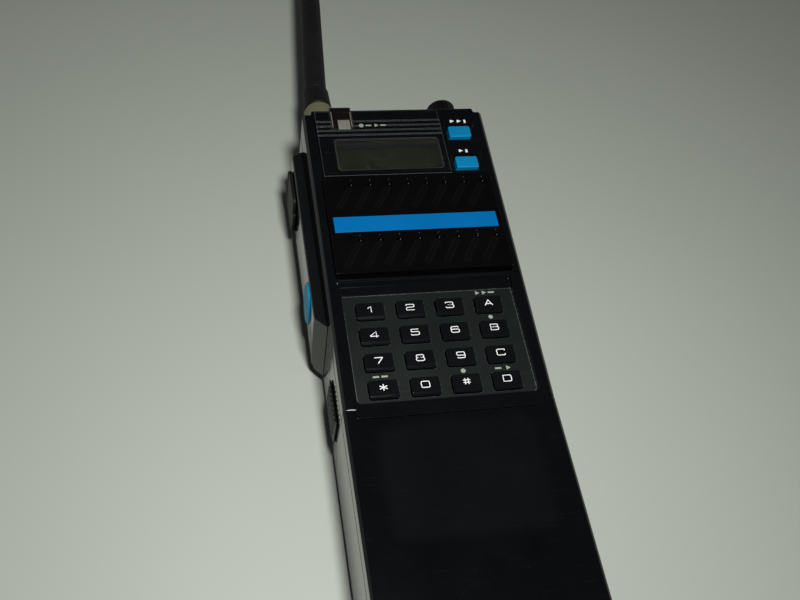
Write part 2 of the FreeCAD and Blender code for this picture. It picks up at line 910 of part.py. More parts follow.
def make_antenna_collar():
    start = collar_start
    end = collar_start + collar_length
    profile = [(0, start - stud_length), (stud_radius, start - stud_length), (stud_radius, start),
               (collar_radius - collar_foot_cut, start), (collar_radius, start + collar_foot_rise),
               (collar_radius, end - collar_head_drop), (collar_radius - collar_head_cut, end), (0, end)]
    return turned_y(profile, socket_x, controls_height)


def make_antenna_boot():
    end = boot_start + boot_length
    profile = [(0, boot_start), (boot_radius - boot_foot_cut, boot_start),
               (boot_radius, boot_start + boot_foot_rise), (boot_tip_radius, end - boot_head_drop),
               (boot_tip_radius - boot_head_cut, end), (0, end)]
    return turned_y(profile, socket_x, controls_height)


def lean(shape):
    shape.rotate(Vec(socket_x, whip_start, controls_height), Vec(0, 0, 1), -whip_lean)
    return shape


def whip_seat():
    return whip_radius * math.sin(math.radians(whip_lean)) + fit_gap


def make_antenna_whip():
    start = whip_start + whip_seat()
    end = whip_start + whip_length
    bore_end = end - core_end
    bore = core_radius + core_gap
    profile = [(bore, start), (whip_radius, start), (whip_tip_radius, end - whip_tip_cut),
               (whip_tip_radius - whip_tip_cut, end), (0, end), (0, bore_end), (bore, bore_end)]
    return lean(turned_y(profile, socket_x, controls_height))


def make_antenna_core():
    start = whip_start + whip_seat()
    end = whip_start + whip_length - core_end - core_gap
    profile = [(0, start), (core_radius, start), (core_radius, end), (0, end)]
    return lean(turned_y(profile, socket_x, controls_height))


def make_side_grip():
    outer_x = -half - grip_width
    foot = split + grip_foot - grip_lean
    head = foot + grip_length
    front = rear_depth
    plan = [(-half, foot), (outer_x, foot + grip_slope), (outer_x, head - grip_head_slope),
            (outer_x + grip_face_cut, head - grip_head_bend), (-half, head)]
    points = [Vec(x, y, grip_back) for x, y in plan]
    face = Part.Face(Part.makePolygon(points + [points[0]]))
    shape = face.extrude(Vec(0, grip_lean, front - grip_back))
    section = [(-half, grip_back), (outer_x + grip_cut, grip_back),
               (outer_x + grip_cut_end, grip_back + grip_cut_rise), (outer_x, grip_back + grip_edge_rise),
               (outer_x, front - grip_face_cut), (outer_x + grip_face_cut, front), (-half, front)]
    shape = shape.common(prism(section, "y", foot - past, head + grip_lean + past))
    hollow_foot = foot + grip_slope + grip_lean + grip_hollow_foot
    shape = shape.cut(block(outer_x + grip_wall, -half + past, hollow_foot, head - grip_hollow_head,
                            grip_back + grip_wall, front - grip_wall))
    shape = shape.cut(oval_x(outer_x - past, outer_x + grip_wall + lap, talk_y, talk_height,
                             talk_half_length + slide_gap, talk_half_height + slide_gap))
    for y in jack_y:
        shape = shape.cut(rod_x(outer_x - past, -half + past, y, jack_height, jack_radius + press_fit_gap))
    return shape.removeSplitter()


def make_talk_button():
    inner = talk_x + grip_wall + slide_gap
    outer = talk_x - talk_proud
    cap = oval_x(outer, inner + lap, talk_y, talk_height, talk_half_length, talk_half_height)
    rim = [edge for edge in cap.Edges if middle(edge).x < outer + 0.01]
    cap = cap.makeChamfer(talk_edge, rim)
    lip = oval_x(inner, inner + talk_lip_thickness, talk_y, talk_height,
                 talk_half_length + talk_lip, talk_half_height + talk_lip)
    plunger = rod_x(inner, talk_plunger_end(), talk_y, talk_height, talk_plunger)
    return cap.fuse(lip).fuse(plunger).removeSplitter()


def talk_plunger_end():
    return -cavity_half - joint_gap - talk_travel + talk_reach


def make_talk_switch():
    face = talk_plunger_end() + talk_travel + press_reserve
    reach = talk_switch_half
    return block(face, -rail_outer, talk_y - reach, talk_y + reach, talk_height - reach, talk_height + reach)


def make_accessory_jacks():
    pieces = []
    for y, bore in zip(jack_y, (jack_bore_large, jack_bore_small)):
        barrel = rod_x(talk_x + jack_sink, -rail_outer - fit_gap, y, jack_height, jack_radius)
        pieces.append(barrel.cut(rod_x(talk_x - past, talk_x + jack_bore_depth, y, jack_height, bore)))
    return Part.makeCompound(pieces)


def cover_hinge():
    y = jack_y[0] - cover_foot + cover_length + cover_knuckle
    return talk_x - fit_gap - cover_knuckle, y


def make_jack_cover():
    hinge_x, hinge_y = cover_hinge()
    inner = talk_x - cover_gap
    outer = inner - cover_thickness
    foot = jack_y[0] - cover_foot
    low = jack_height - cover_half_height
    high = jack_height + cover_half_height
    plate = block(outer, inner, foot, hinge_y, low, high)
    plate = rounded(plate, cover_corner, "x", lambda place: place.y < foot + past)
    plate = plate.cut(block(outer - past, inner + past, hinge_y - cover_knuckle_reach, hinge_y + past,
                            low - past, high + past))
    tab = rounded_block(outer, inner, foot - cover_tab, foot + cover_corner, jack_height - cover_tab_half,
                        jack_height + cover_tab_half, cover_tab_corner, "x")
    knuckle = rod_z(hinge_x, hinge_y, low + cover_knuckle_side, high - cover_knuckle_side, cover_knuckle)
    return plate.fuse(tab).fuse(knuckle).removeSplitter()


def latch_middle():
    return (latch_low + latch_high) / 2


def latch_stem_span():
    start = split + latch_foot + (latch_length - latch_stem_length) / 2
    return start, start + latch_stem_length


def latch_pad_x():
    outer = -cavity_half + slide_gap
    return outer, outer + latch_pad


def make_latch_slider():
    foot = split + latch_foot
    head = foot + latch_length
    skin = -half - joint_gap
    outer = skin - latch_cap
    shape = rounded_block(outer, skin, foot, head, latch_low, latch_high, latch_corner, "x")
    count = int((latch_length - 2 * latch_corner) / latch_ridge_pitch)
    start = foot + (latch_length - (count - 1) * latch_ridge_pitch) / 2
    for i in range(count):
        shape = shape.fuse(latch_ridge_at(start + latch_ridge_pitch * i, outer))
    low, high = latch_stem_span()
    pad_x = latch_pad_x()
    z = latch_middle()
    stem = latch_stem_half
    shape = shape.fuse(block(skin - fit_gap, pad_x[0] + fit_gap, low, high, z - stem, z + stem))
    shape = shape.fuse(block(pad_x[0], pad_x[1], cavity_bottom + 2 * slide_gap, high + latch_pad_over,
                             z - latch_pad_half, z + latch_pad_half))
    shape = shape.fuse(block(pad_x[0], pad_x[0] + latch_tongue, split + 2 * joint_gap, cavity_bottom + past,
                             z - stem, z + stem))
    return shape.removeSplitter()


def latch_ridge_at(y, outer):
    section = [(outer + fit_gap, y - latch_ridge_half), (outer + fit_gap, y + latch_ridge_half),
               (outer - latch_ridge, y + latch_ridge_crest), (outer - latch_ridge, y - latch_ridge_crest)]
    return prism(section, "z", latch_low + latch_ridge_side, latch_high - latch_ridge_side)


def make_chassis():
    plate_end = top - top_wall - chassis_head_gap
    top_face = chassis_height + chassis_plate
    chassis = block(-rail_outer, rail_outer, chassis_bottom, plate_end, chassis_height, top_face)
    for x in (-rail_outer, rail_inner):
        chassis = chassis.fuse(block(x, x + rail_width, chassis_bottom, rail_top, wall, board_bottom))
    for x in (pillar_side - rail_inner, rail_inner - pillar_side):
        for y in (split + pillar_foot, rail_top - pillar_drop):
            chassis = chassis.fuse(rod_z(x, y, main_board_top, chassis_height + lap, pillar_radius))
    for x, y in screw_places():
        chassis = chassis.cut(rod_z(x, y, chassis_height - past, top_face + past, screw_radius + screw_play))
    return chassis.removeSplitter()


def make_main_board():
    side = rail_inner - slide_gap
    reach = post_radius + slide_gap
    board = block(-side, side, chassis_bottom + main_board_foot, upper_screw_y - reach,
                  main_board_bottom, main_board_top)
    for x in (-lower_screw_x, lower_screw_x):
        x0, x1 = sorted((x - math.copysign(reach, x), math.copysign(half, x)))
        board = board.cut(block(x0, x1, bottom, lower_screw_y + reach,
                                main_board_bottom - past, main_board_top + past))
    return board.removeSplitter()


def make_shield_can():
    side = rail_inner - shield_side
    foot = split + shield_foot
    head = foot + shield_length
    low = main_board_bottom - shield_height
    can = block(-side, side, foot, head, low, main_board_bottom)
    inner = block(-side + shield_wall, side - shield_wall, foot + shield_wall, head - shield_wall,
                  low + shield_wall, main_board_bottom + past)
    return can.cut(inner)


# Chips of several sizes stand in rows on the main board's upper face
def make_board_parts():
    pieces = []
    for row in range(chip_rows):
        y = split + chip_foot + chip_pitch_y * row
        for column in range(chip_columns):
            x = chip_pitch_x * (column - (chip_columns - 1) / 2)
            across = chip_width / 2 * (1.0 - 0.1 * ((row + column) % 4))
            along = chip_length / 2 * (1.0 + 0.2 * ((2 * row + column) % 3))
            pieces.append(block(x - across, x + across, y - along, y + along,
                                main_board_top, main_board_top + chip_height))
    return Part.makeCompound(pieces)


def make_clip_inserts():
    pieces = []
    for y in insert_places():
        insert = rod_z(0, y, 0, insert_depth, insert_radius)
        pieces.append(insert.cut(rod_z(0, y, -past, insert_depth - insert_floor, insert_bore)))
    return Part.makeCompound(pieces)


def make_casing_screws():
    pieces = []
    short_end = chassis_height + chassis_plate
    ends = [short_end, short_end, long_screw_end, long_screw_end]
    head_top = screw_head_sink + screw_head_height
    slot_top = screw_head_sink + past
    reach = screw_slot_half
    narrow = screw_slot_width / 2
    for (x, y), end in zip(screw_places(), ends):
        head = rod_z(x, y, screw_head_sink, head_top, screw_head_radius)
        screw = head.fuse(rod_z(x, y, head_top - lap, end, screw_radius))
        across = block(x - reach, x + reach, y - narrow, y + narrow, 0, slot_top)
        along = block(x - narrow, x + narrow, y - reach, y + reach, 0, slot_top)
        pieces.append(screw.cut(across.fuse(along)).removeSplitter())
    return Part.makeCompound(pieces)


def make_speaker_basket():
    rim_top = pod_ceiling
    back = rim_top - speaker_depth
    throat = back + magnet_height
    inner = speaker_radius - speaker_rim
    flange = rim_top - speaker_flange
    sheet = speaker_sheet
    profile = [(0, back), (magnet_radius, back), (magnet_radius, throat - cone_sheet),
               (magnet_radius + sheet, throat - cone_sheet), (inner + sheet, flange),
               (speaker_radius, flange), (speaker_radius, rim_top), (inner, rim_top),
               (inner, rim_top - sheet), (magnet_radius + fit_gap, throat + 2 * fit_gap),
               (0, throat + 2 * fit_gap)]
    return turned_z(profile, 0, speaker_y)


def make_speaker_cone():
    rim_top = pod_ceiling - 2 * fit_gap
    foot = pod_ceiling - speaker_depth + magnet_height + lap + 2 * fit_gap
    edge = speaker_radius - speaker_rim - cone_gap
    profile = [(0, foot), (coil_radius, foot), (edge - cone_roll, rim_top - cone_sheet),
               (edge, rim_top - cone_sheet), (edge, rim_top), (edge - cone_roll, rim_top),
               (coil_radius, foot + cone_neck), (dust_cap, foot + 2 * cone_neck), (0, foot + 3 * cone_neck)]
    return turned_z(profile, 0, speaker_y)


def make_microphone():
    return rod_z(mic_side - pod_half, grille_bottom + mic_foot, board_top, board_top + mic_height, mic_radius)


def contact_places():
    return [contact_pitch * (i - (contact_count - 1) / 2) for i in range(contact_count)]


def contacts_height():
    return (neck_low + neck_high) / 2


def make_radio_contacts():
    start = cavity_bottom
    z = contacts_height()
    reach = (neck_high - neck_low) / 2 + holder_rise
    side = neck_half + holder_side
    holder = block(-side, side, start, chassis_bottom - slide_gap, z - reach, z + reach)
    for x in contact_places():
        holder = holder.fuse(rod_y(x, start - contact_proud, start + lap, z, contact_radius))
    return holder.removeSplitter()


def stud_plate_places():
    return [(side * stud_plate_spacing / 2, bottom + stud_plate_along) for side in (-1, 1)]


def make_battery_rear():
    outer = block(-half, half, bottom, split - joint_gap, 0, rear_depth)
    outer = rounded(outer, back_round, "y", lambda place: place.z < past)
    outer = outer.cut(prism(radio_end(rear_depth + past, joint_gap), "x", -half - past, half + past))
    neck_end = split + neck_length
    neck = block(-neck_half, neck_half, split - past, neck_end, neck_low, neck_high)
    cavity = block(-cavity_half, cavity_half, bottom + wall, battery_cavity_top, wall, rear_depth + past)
    cavity = rounded(cavity, back_round - wall, "y", lambda place: place.z < wall + lap)
    shape = outer.fuse(neck).cut(cavity)
    for x in contact_places():
        shape = shape.cut(rod_y(x, neck_end - contact_length, neck_end + past, contacts_height(),
                                contact_radius))
    for x, y in stud_plate_places():
        shape = shape.cut(rod_z(x, y, -past, stud_plate_sink + stud_plate_depth, stud_plate_radius))
    return shape.removeSplitter()


def make_battery_front():
    low = rear_depth + seam_inset
    head = split - joint_gap
    side = [(bottom, low), (head, low), (head, front_low), (bottom, battery_depth)]
    outer = cut_front_edges(prism(side, "x", -half, half), low)
    rim = half - seam_inset
    rim_block = block(-rim, rim, bottom + seam_inset, head - seam_inset, rear_depth, low + lap)
    cavity = block(-cavity_half, cavity_half, bottom + wall, battery_cavity_top,
                   rear_depth - past, front_low - wall)
    notch_half = half - tongue_side + slide_gap
    notch = block(-notch_half, notch_half, split - tongue_length - slide_gap, split + past,
                  front_low - tongue_depth - slide_gap, battery_depth + past)
    return outer.fuse(rim_block).cut(cavity).cut(notch).removeSplitter()


def make_battery_cells():
    pieces = []
    nub_start = cells_bottom + cell_length - cell_nub
    for layer in range(cell_layers):
        z = wall + cell_gap + cell_radius + cell_pitch * layer
        for i in range(cells_across):
            x = cell_pitch * (i - (cells_across - 1) / 2)
            body = rod_y(x, cells_bottom, nub_start, z, cell_radius)
            nub = rod_y(x, nub_start - lap, cells_bottom + cell_length, z, cell_nub_radius)
            pieces.append(body.fuse(nub).removeSplitter())
    return Part.makeCompound(pieces)


def make_cell_spacer():
    reach = cells_across * cell_pitch / 2 - spacer_side
    foot = wall + cell_gap
    return block(-reach, reach, cells_bottom + cell_length + cell_gap, battery_cavity_top - cell_gap,
                 foot, foot + cell_layers * cell_pitch)


def make_battery_contacts():
    end = split + neck_length
    pieces = []
    for x in contact_places():
        pieces.append(rod_y(x, end - contact_length, end, contacts_height(), contact_radius))
    for x, y in stud_plate_places():
        pieces.append(rod_z(x, y, stud_plate_sink, stud_plate_sink + stud_plate_depth, stud_plate_radius))
    return Part.makeCompound(pieces)


def make_parts():
    parts = {
        "rear_shell": make_rear_shell(),
        "front_shell": make_front_shell(),
        "case_seal": make_case_seal(),
        "display_bezel": make_display_bezel(),
        "display_window": make_display_window(),
        "lcd_module": make_lcd_module(),
        "speaker_grille": make_speaker_grille(),
        "stripe_plate": make_stripe_plate(),
        "speaker_basket": make_speaker_basket(),
        "speaker_cone": make_speaker_cone(),
        "keypad_plate": make_keypad_plate(),
        "keypad_mat": make_keypad_mat(),
        "front_board": make_front_board(),
        "blue_button_upper": make_blue_button(button_rows[0]),
        "blue_button_lower": make_blue_button(button_rows[1]),
        "button_switches": make_button_switches(),
        "light_pipe": make_light_pipe(),
        "lamp_block": lamp_block_box(),
        "volume_knob": make_volume_knob(),
        "volume_control": make_volume_control(),
        "antenna_socket": make_antenna_socket(),
        "antenna_collar": make_antenna_collar(),
        "antenna_boot": make_antenna_boot(),
        "antenna_whip": make_antenna_whip(),
        "antenna_core": make_antenna_core(),
        "side_grip": make_side_grip(),
        "talk_button": make_talk_button(),
        "talk_switch": make_talk_switch(),
        "jack_cover": make_jack_cover(),
        "accessory_jacks": make_accessory_jacks(),
        "chassis": make_chassis(),
        "main_board": make_main_board(),
        "shield_can": make_shield_can(),
        "board_parts": make_board_parts(),
        "microphone": make_microphone(),
        "casing_screws": make_casing_screws(),
        "clip_inserts": make_clip_inserts(),
        "radio_contacts": make_radio_contacts(),
        "latch_slider": make_latch_slider(),
        "battery_front": make_battery_front(),
        "battery_rear": make_battery_rear(),
        "battery_cells": make_battery_cells(),
        "cell_spacer": make_cell_spacer(),
        "battery_contacts": make_battery_contacts(),
    }
    for names, y in zip(key_names, key_rows):
        for name, x in zip(names, key_columns):
            parts["key_" + name] = make_key(x, y)
    return parts


os.makedirs("parts", exist_ok=True)
for node, shape in make_parts().items():
    if not shape.isValid():
        print("not valid:", node)
    print(node, len(shape.Solids), round(shape.Volume, 1))
    shape.exportStep("parts/" + node + ".step")
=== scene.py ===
import json
import math
import bmesh
import bpy
from mathutils import Matrix, Vector


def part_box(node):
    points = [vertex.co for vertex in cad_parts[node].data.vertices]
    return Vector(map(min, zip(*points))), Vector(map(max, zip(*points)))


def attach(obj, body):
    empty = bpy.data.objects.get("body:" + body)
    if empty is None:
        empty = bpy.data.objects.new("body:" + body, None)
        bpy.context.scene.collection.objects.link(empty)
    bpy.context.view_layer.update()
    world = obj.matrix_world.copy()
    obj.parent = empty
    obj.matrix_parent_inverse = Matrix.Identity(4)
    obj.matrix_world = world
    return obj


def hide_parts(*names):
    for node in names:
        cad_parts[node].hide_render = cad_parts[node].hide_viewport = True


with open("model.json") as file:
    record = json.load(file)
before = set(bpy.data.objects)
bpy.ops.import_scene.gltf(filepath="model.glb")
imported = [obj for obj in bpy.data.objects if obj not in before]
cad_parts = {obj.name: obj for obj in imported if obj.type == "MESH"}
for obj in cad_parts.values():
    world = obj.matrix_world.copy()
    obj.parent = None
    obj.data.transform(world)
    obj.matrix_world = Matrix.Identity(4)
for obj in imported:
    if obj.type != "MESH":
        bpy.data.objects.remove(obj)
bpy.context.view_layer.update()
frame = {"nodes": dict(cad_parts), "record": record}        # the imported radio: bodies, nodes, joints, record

mm = 0.001
nodes = frame["nodes"]
bodyOf = {node: body for body, members in frame["record"]["behaviour"]["bodies"].items() for node in members}
slotOf = {part["node"]: part["material_slot"] for part in frame["record"]["subparts"]}


# The photograph's view

photoView = {
    "place": (-71.33, -146.57, 286.25),       # millimetres
    "right": (0.97786, -0.15943, 0.13554),
    "up": (0.05651, 0.82483, 0.56255),
    "lens": 44.61,
}


def makeCamera():
    data = bpy.data.cameras.new("photoCamera")
    data.lens = photoView["lens"]
    data.sensor_width = 36.0
    data.clip_start = 0.01
    data.clip_end = 20.0
    camera = bpy.data.objects.new("photoCamera", data)
    bpy.context.scene.collection.objects.link(camera)
    right = Vector(photoView["right"]).normalized()
    back = right.cross(Vector(photoView["up"])).normalized()
    up = back.cross(right)
    turn = Matrix((right, up, back)).transposed().to_4x4()
    camera.matrix_world = Matrix.Translation(Vector(photoView["place"]) * mm) @ turn
    bpy.context.scene.camera = camera


makeCamera()
print("camera placed")


# Helpers for shader trees

def linear(colour):
    # from the 0-255 values of a picture to scene colour
    values = [c / 255.0 for c in colour]
    return tuple(v / 12.92 if v <= 0.04045 else ((v + 0.055) / 1.055) ** 2.4 for v in values) + (1.0,)


def addNode(tree, kind, inputs=None, **settings):
    node = tree.nodes.new(kind)
    for key, value in settings.items():
        setattr(node, key, value)
    for key, value in (inputs or {}).items():
        if isinstance(value, bpy.types.NodeSocket):
            tree.links.new(value, node.inputs[key])
        else:
            node.inputs[key].default_value = value
    return node


def calc(tree, operation, *values, clamp=False):
    node = addNode(tree, "ShaderNodeMath", dict(enumerate(values)), operation=operation, use_clamp=clamp)
    return node.outputs[0]


def vectorCalc(tree, operation, *values, result=0):
    node = addNode(tree, "ShaderNodeVectorMath", dict(enumerate(values)), operation=operation)
    return node.outputs[result]


def spread(tree, value, low, high, start=0.0, end=1.0):
    node = addNode(tree, "ShaderNodeMapRange", {"Value": value, "From Min": low, "From Max": high,
                                                "To Min": start, "To Max": end})
    return node.outputs["Result"]


def mixColour(tree, share, first, second):
    # sockets 0, 6 and 7 are the share and the two colours, output 2 the mixed one
    return addNode(tree, "ShaderNodeMix", {0: share, 6: first, 7: second}, data_type="RGBA").outputs[2]


def newGroup(name, inputs, outputs):
    tree = bpy.data.node_groups.new(name, "ShaderNodeTree")
    kinds = {float: "NodeSocketFloat", tuple: "NodeSocketVector"}
    for label, value in inputs.items():
        socket = tree.interface.new_socket(label, in_out="INPUT", socket_type=kinds[type(value)])
        socket.default_value = value
    for label in outputs:
        tree.interface.new_socket(label, in_out="OUTPUT", socket_type="NodeSocketFloat")
    start = tree.nodes.new("NodeGroupInput")
    end = tree.nodes.new("NodeGroupOutput")
    return tree, start.outputs, end


# Effects that several finishes share

def makeGrainGroup():
    # the moulded texture: fine grain, and slow blotches that change colour and gloss
    tree, given, end = newGroup("mouldedGrain", {"Scale": 900.0, "Blotch Scale": 60.0}, ["Height", "Blotch"])
    place = addNode(tree, "ShaderNodeTexCoord").outputs["Object"]
    fine = addNode(tree, "ShaderNodeTexNoise", {"Vector": place, "Scale": given["Scale"], "Detail": 3.0,
                                                "Roughness": 0.6})
    slow = addNode(tree, "ShaderNodeTexNoise", {"Vector": place, "Scale": given["Blotch Scale"],
                                                "Detail": 4.0, "Roughness": 0.55})
    tree.links.new(fine.outputs["Fac"], end.inputs["Height"])
    tree.links.new(spread(tree, slow.outputs["Fac"], 0.3, 0.7), end.inputs["Blotch"])
    return tree


def makeWearAndGlintGroup():
    # rubbed edges, and on the bezel painted highlights along its edges: where a rounded normal leaves the
    # surface's own one, broken up by noise
    tree, given, end = newGroup("edgeWearAndGlint", {"Width": 0.0004, "Breakup": 500.0, "Amount": 0.5, "Even": 0.0},
                                ["Mask"])
    rounded = addNode(tree, "ShaderNodeBevel", {"Radius": given["Width"]}, samples=4).outputs[0]
    own = addNode(tree, "ShaderNodeNewGeometry").outputs["Normal"]
    alike = vectorCalc(tree, "DOT_PRODUCT", rounded, own, result=1)
    edge = spread(tree, alike, 0.99, 0.86)
    place = addNode(tree, "ShaderNodeTexCoord").outputs["Object"]
    broken = addNode(tree, "ShaderNodeTexNoise", {"Vector": place, "Scale": given["Breakup"], "Detail": 4.0,
                                                  "Roughness": 0.7}).outputs["Fac"]
    patchy = calc(tree, "MAXIMUM", spread(tree, broken, 0.42, 0.62), given["Even"])
    mask = calc(tree, "MULTIPLY", edge, patchy)
    tree.links.new(calc(tree, "MULTIPLY", mask, given["Amount"]), end.inputs["Mask"])
    return tree


def makeDustGroup():
    # specks and a thin film on what faces up
    tree, given, end = newGroup("settledDust", {"Amount": 0.2, "Scale": 700.0}, ["Mask"])
    normal = addNode(tree, "ShaderNodeNewGeometry").outputs["Normal"]
    upward = addNode(tree, "ShaderNodeSeparateXYZ", {0: normal}).outputs["Z"]
    facing = spread(tree, upward, 0.3, 0.95)
    place = addNode(tree, "ShaderNodeTexCoord").outputs["Object"]
    speck = addNode(tree, "ShaderNodeTexNoise", {"Vector": place, "Scale": given["Scale"], "Detail": 2.0,
                                                 "Roughness": 0.5}).outputs["Fac"]
    film = addNode(tree, "ShaderNodeTexNoise", {"Vector": place, "Scale": 45.0, "Detail": 5.0,
                                                "Roughness": 0.6}).outputs["Fac"]
    specks = spread(tree, speck, 0.70, 0.78)
    both = calc(tree, "ADD", specks, calc(tree, "MULTIPLY", spread(tree, film, 0.35, 0.75), 0.25), clamp=True)
    mask = calc(tree, "MULTIPLY", calc(tree, "MULTIPLY", both, facing), given["Amount"])
    tree.links.new(mask, end.inputs["Mask"])
    return tree


def makeScratchGroup():
    # hairlines in two directions
    tree, given, end = newGroup("hairlines", {"Scale": 90.0, "Amount": 0.3}, ["Mask"])
    place = addNode(tree, "ShaderNodeTexCoord").outputs["Object"]
    lines = []
    for turn, narrow in ((0.5, 26.0), (2.1, 34.0)):
        turned = addNode(tree, "ShaderNodeMapping", {"Vector": place, "Rotation": (0.0, 0.0, turn),
                                                     "Scale": (1.0, narrow, 1.0)}).outputs[0]
        noise = addNode(tree, "ShaderNodeTexNoise", {"Vector": turned, "Scale": given["Scale"], "Detail": 2.0,
                                                     "Roughness": 0.5}).outputs["Fac"]
        lines.append(spread(tree, noise, 0.66, 0.74))
    mask = calc(tree, "MULTIPLY", calc(tree, "MAXIMUM", *lines), given["Amount"])
    tree.links.new(mask, end.inputs["Mask"])
    return tree


def makeFieldGroup():
    # a soft rounded rectangle, for a patch of another gloss
    tree, given, end = newGroup("softField", {"Centre": (0.0, 0.0, 0.0), "Half Size": (0.02, 0.02, 1.0),
                                              "Corner": 0.003, "Softness": 0.001}, ["Mask"])
    place = addNode(tree, "ShaderNodeTexCoord").outputs["Object"]
    away = vectorCalc(tree, "ABSOLUTE", vectorCalc(tree, "SUBTRACT", place, given["Centre"]))
    corner = addNode(tree, "ShaderNodeCombineXYZ", {0: given["Corner"], 1: given["Corner"]}).outputs[0]
    inner = vectorCalc(tree, "SUBTRACT", given["Half Size"], corner)
    past = vectorCalc(tree, "MAXIMUM", vectorCalc(tree, "SUBTRACT", away, inner), (0.0, 0.0, 0.0))
    distance = vectorCalc(tree, "LENGTH", past, result=1)
    edge = calc(tree, "SUBTRACT", distance, given["Corner"])
    soft = calc(tree, "DIVIDE", edge, given["Softness"])
    tree.links.new(spread(tree, soft, 1.0, -1.0), end.inputs["Mask"])
    return tree


effects = {"grain": makeGrainGroup(), "wear": makeWearAndGlintGroup(), "dust": makeDustGroup(),
           "scratches": makeScratchGroup(), "field": makeFieldGroup()}


def addEffect(tree, name, **inputs):
    node = tree.nodes.new("ShaderNodeGroup")
    node.node_tree = effects[name]
    for key, value in inputs.items():
        node.inputs[key].default_value = value
    return node.outputs
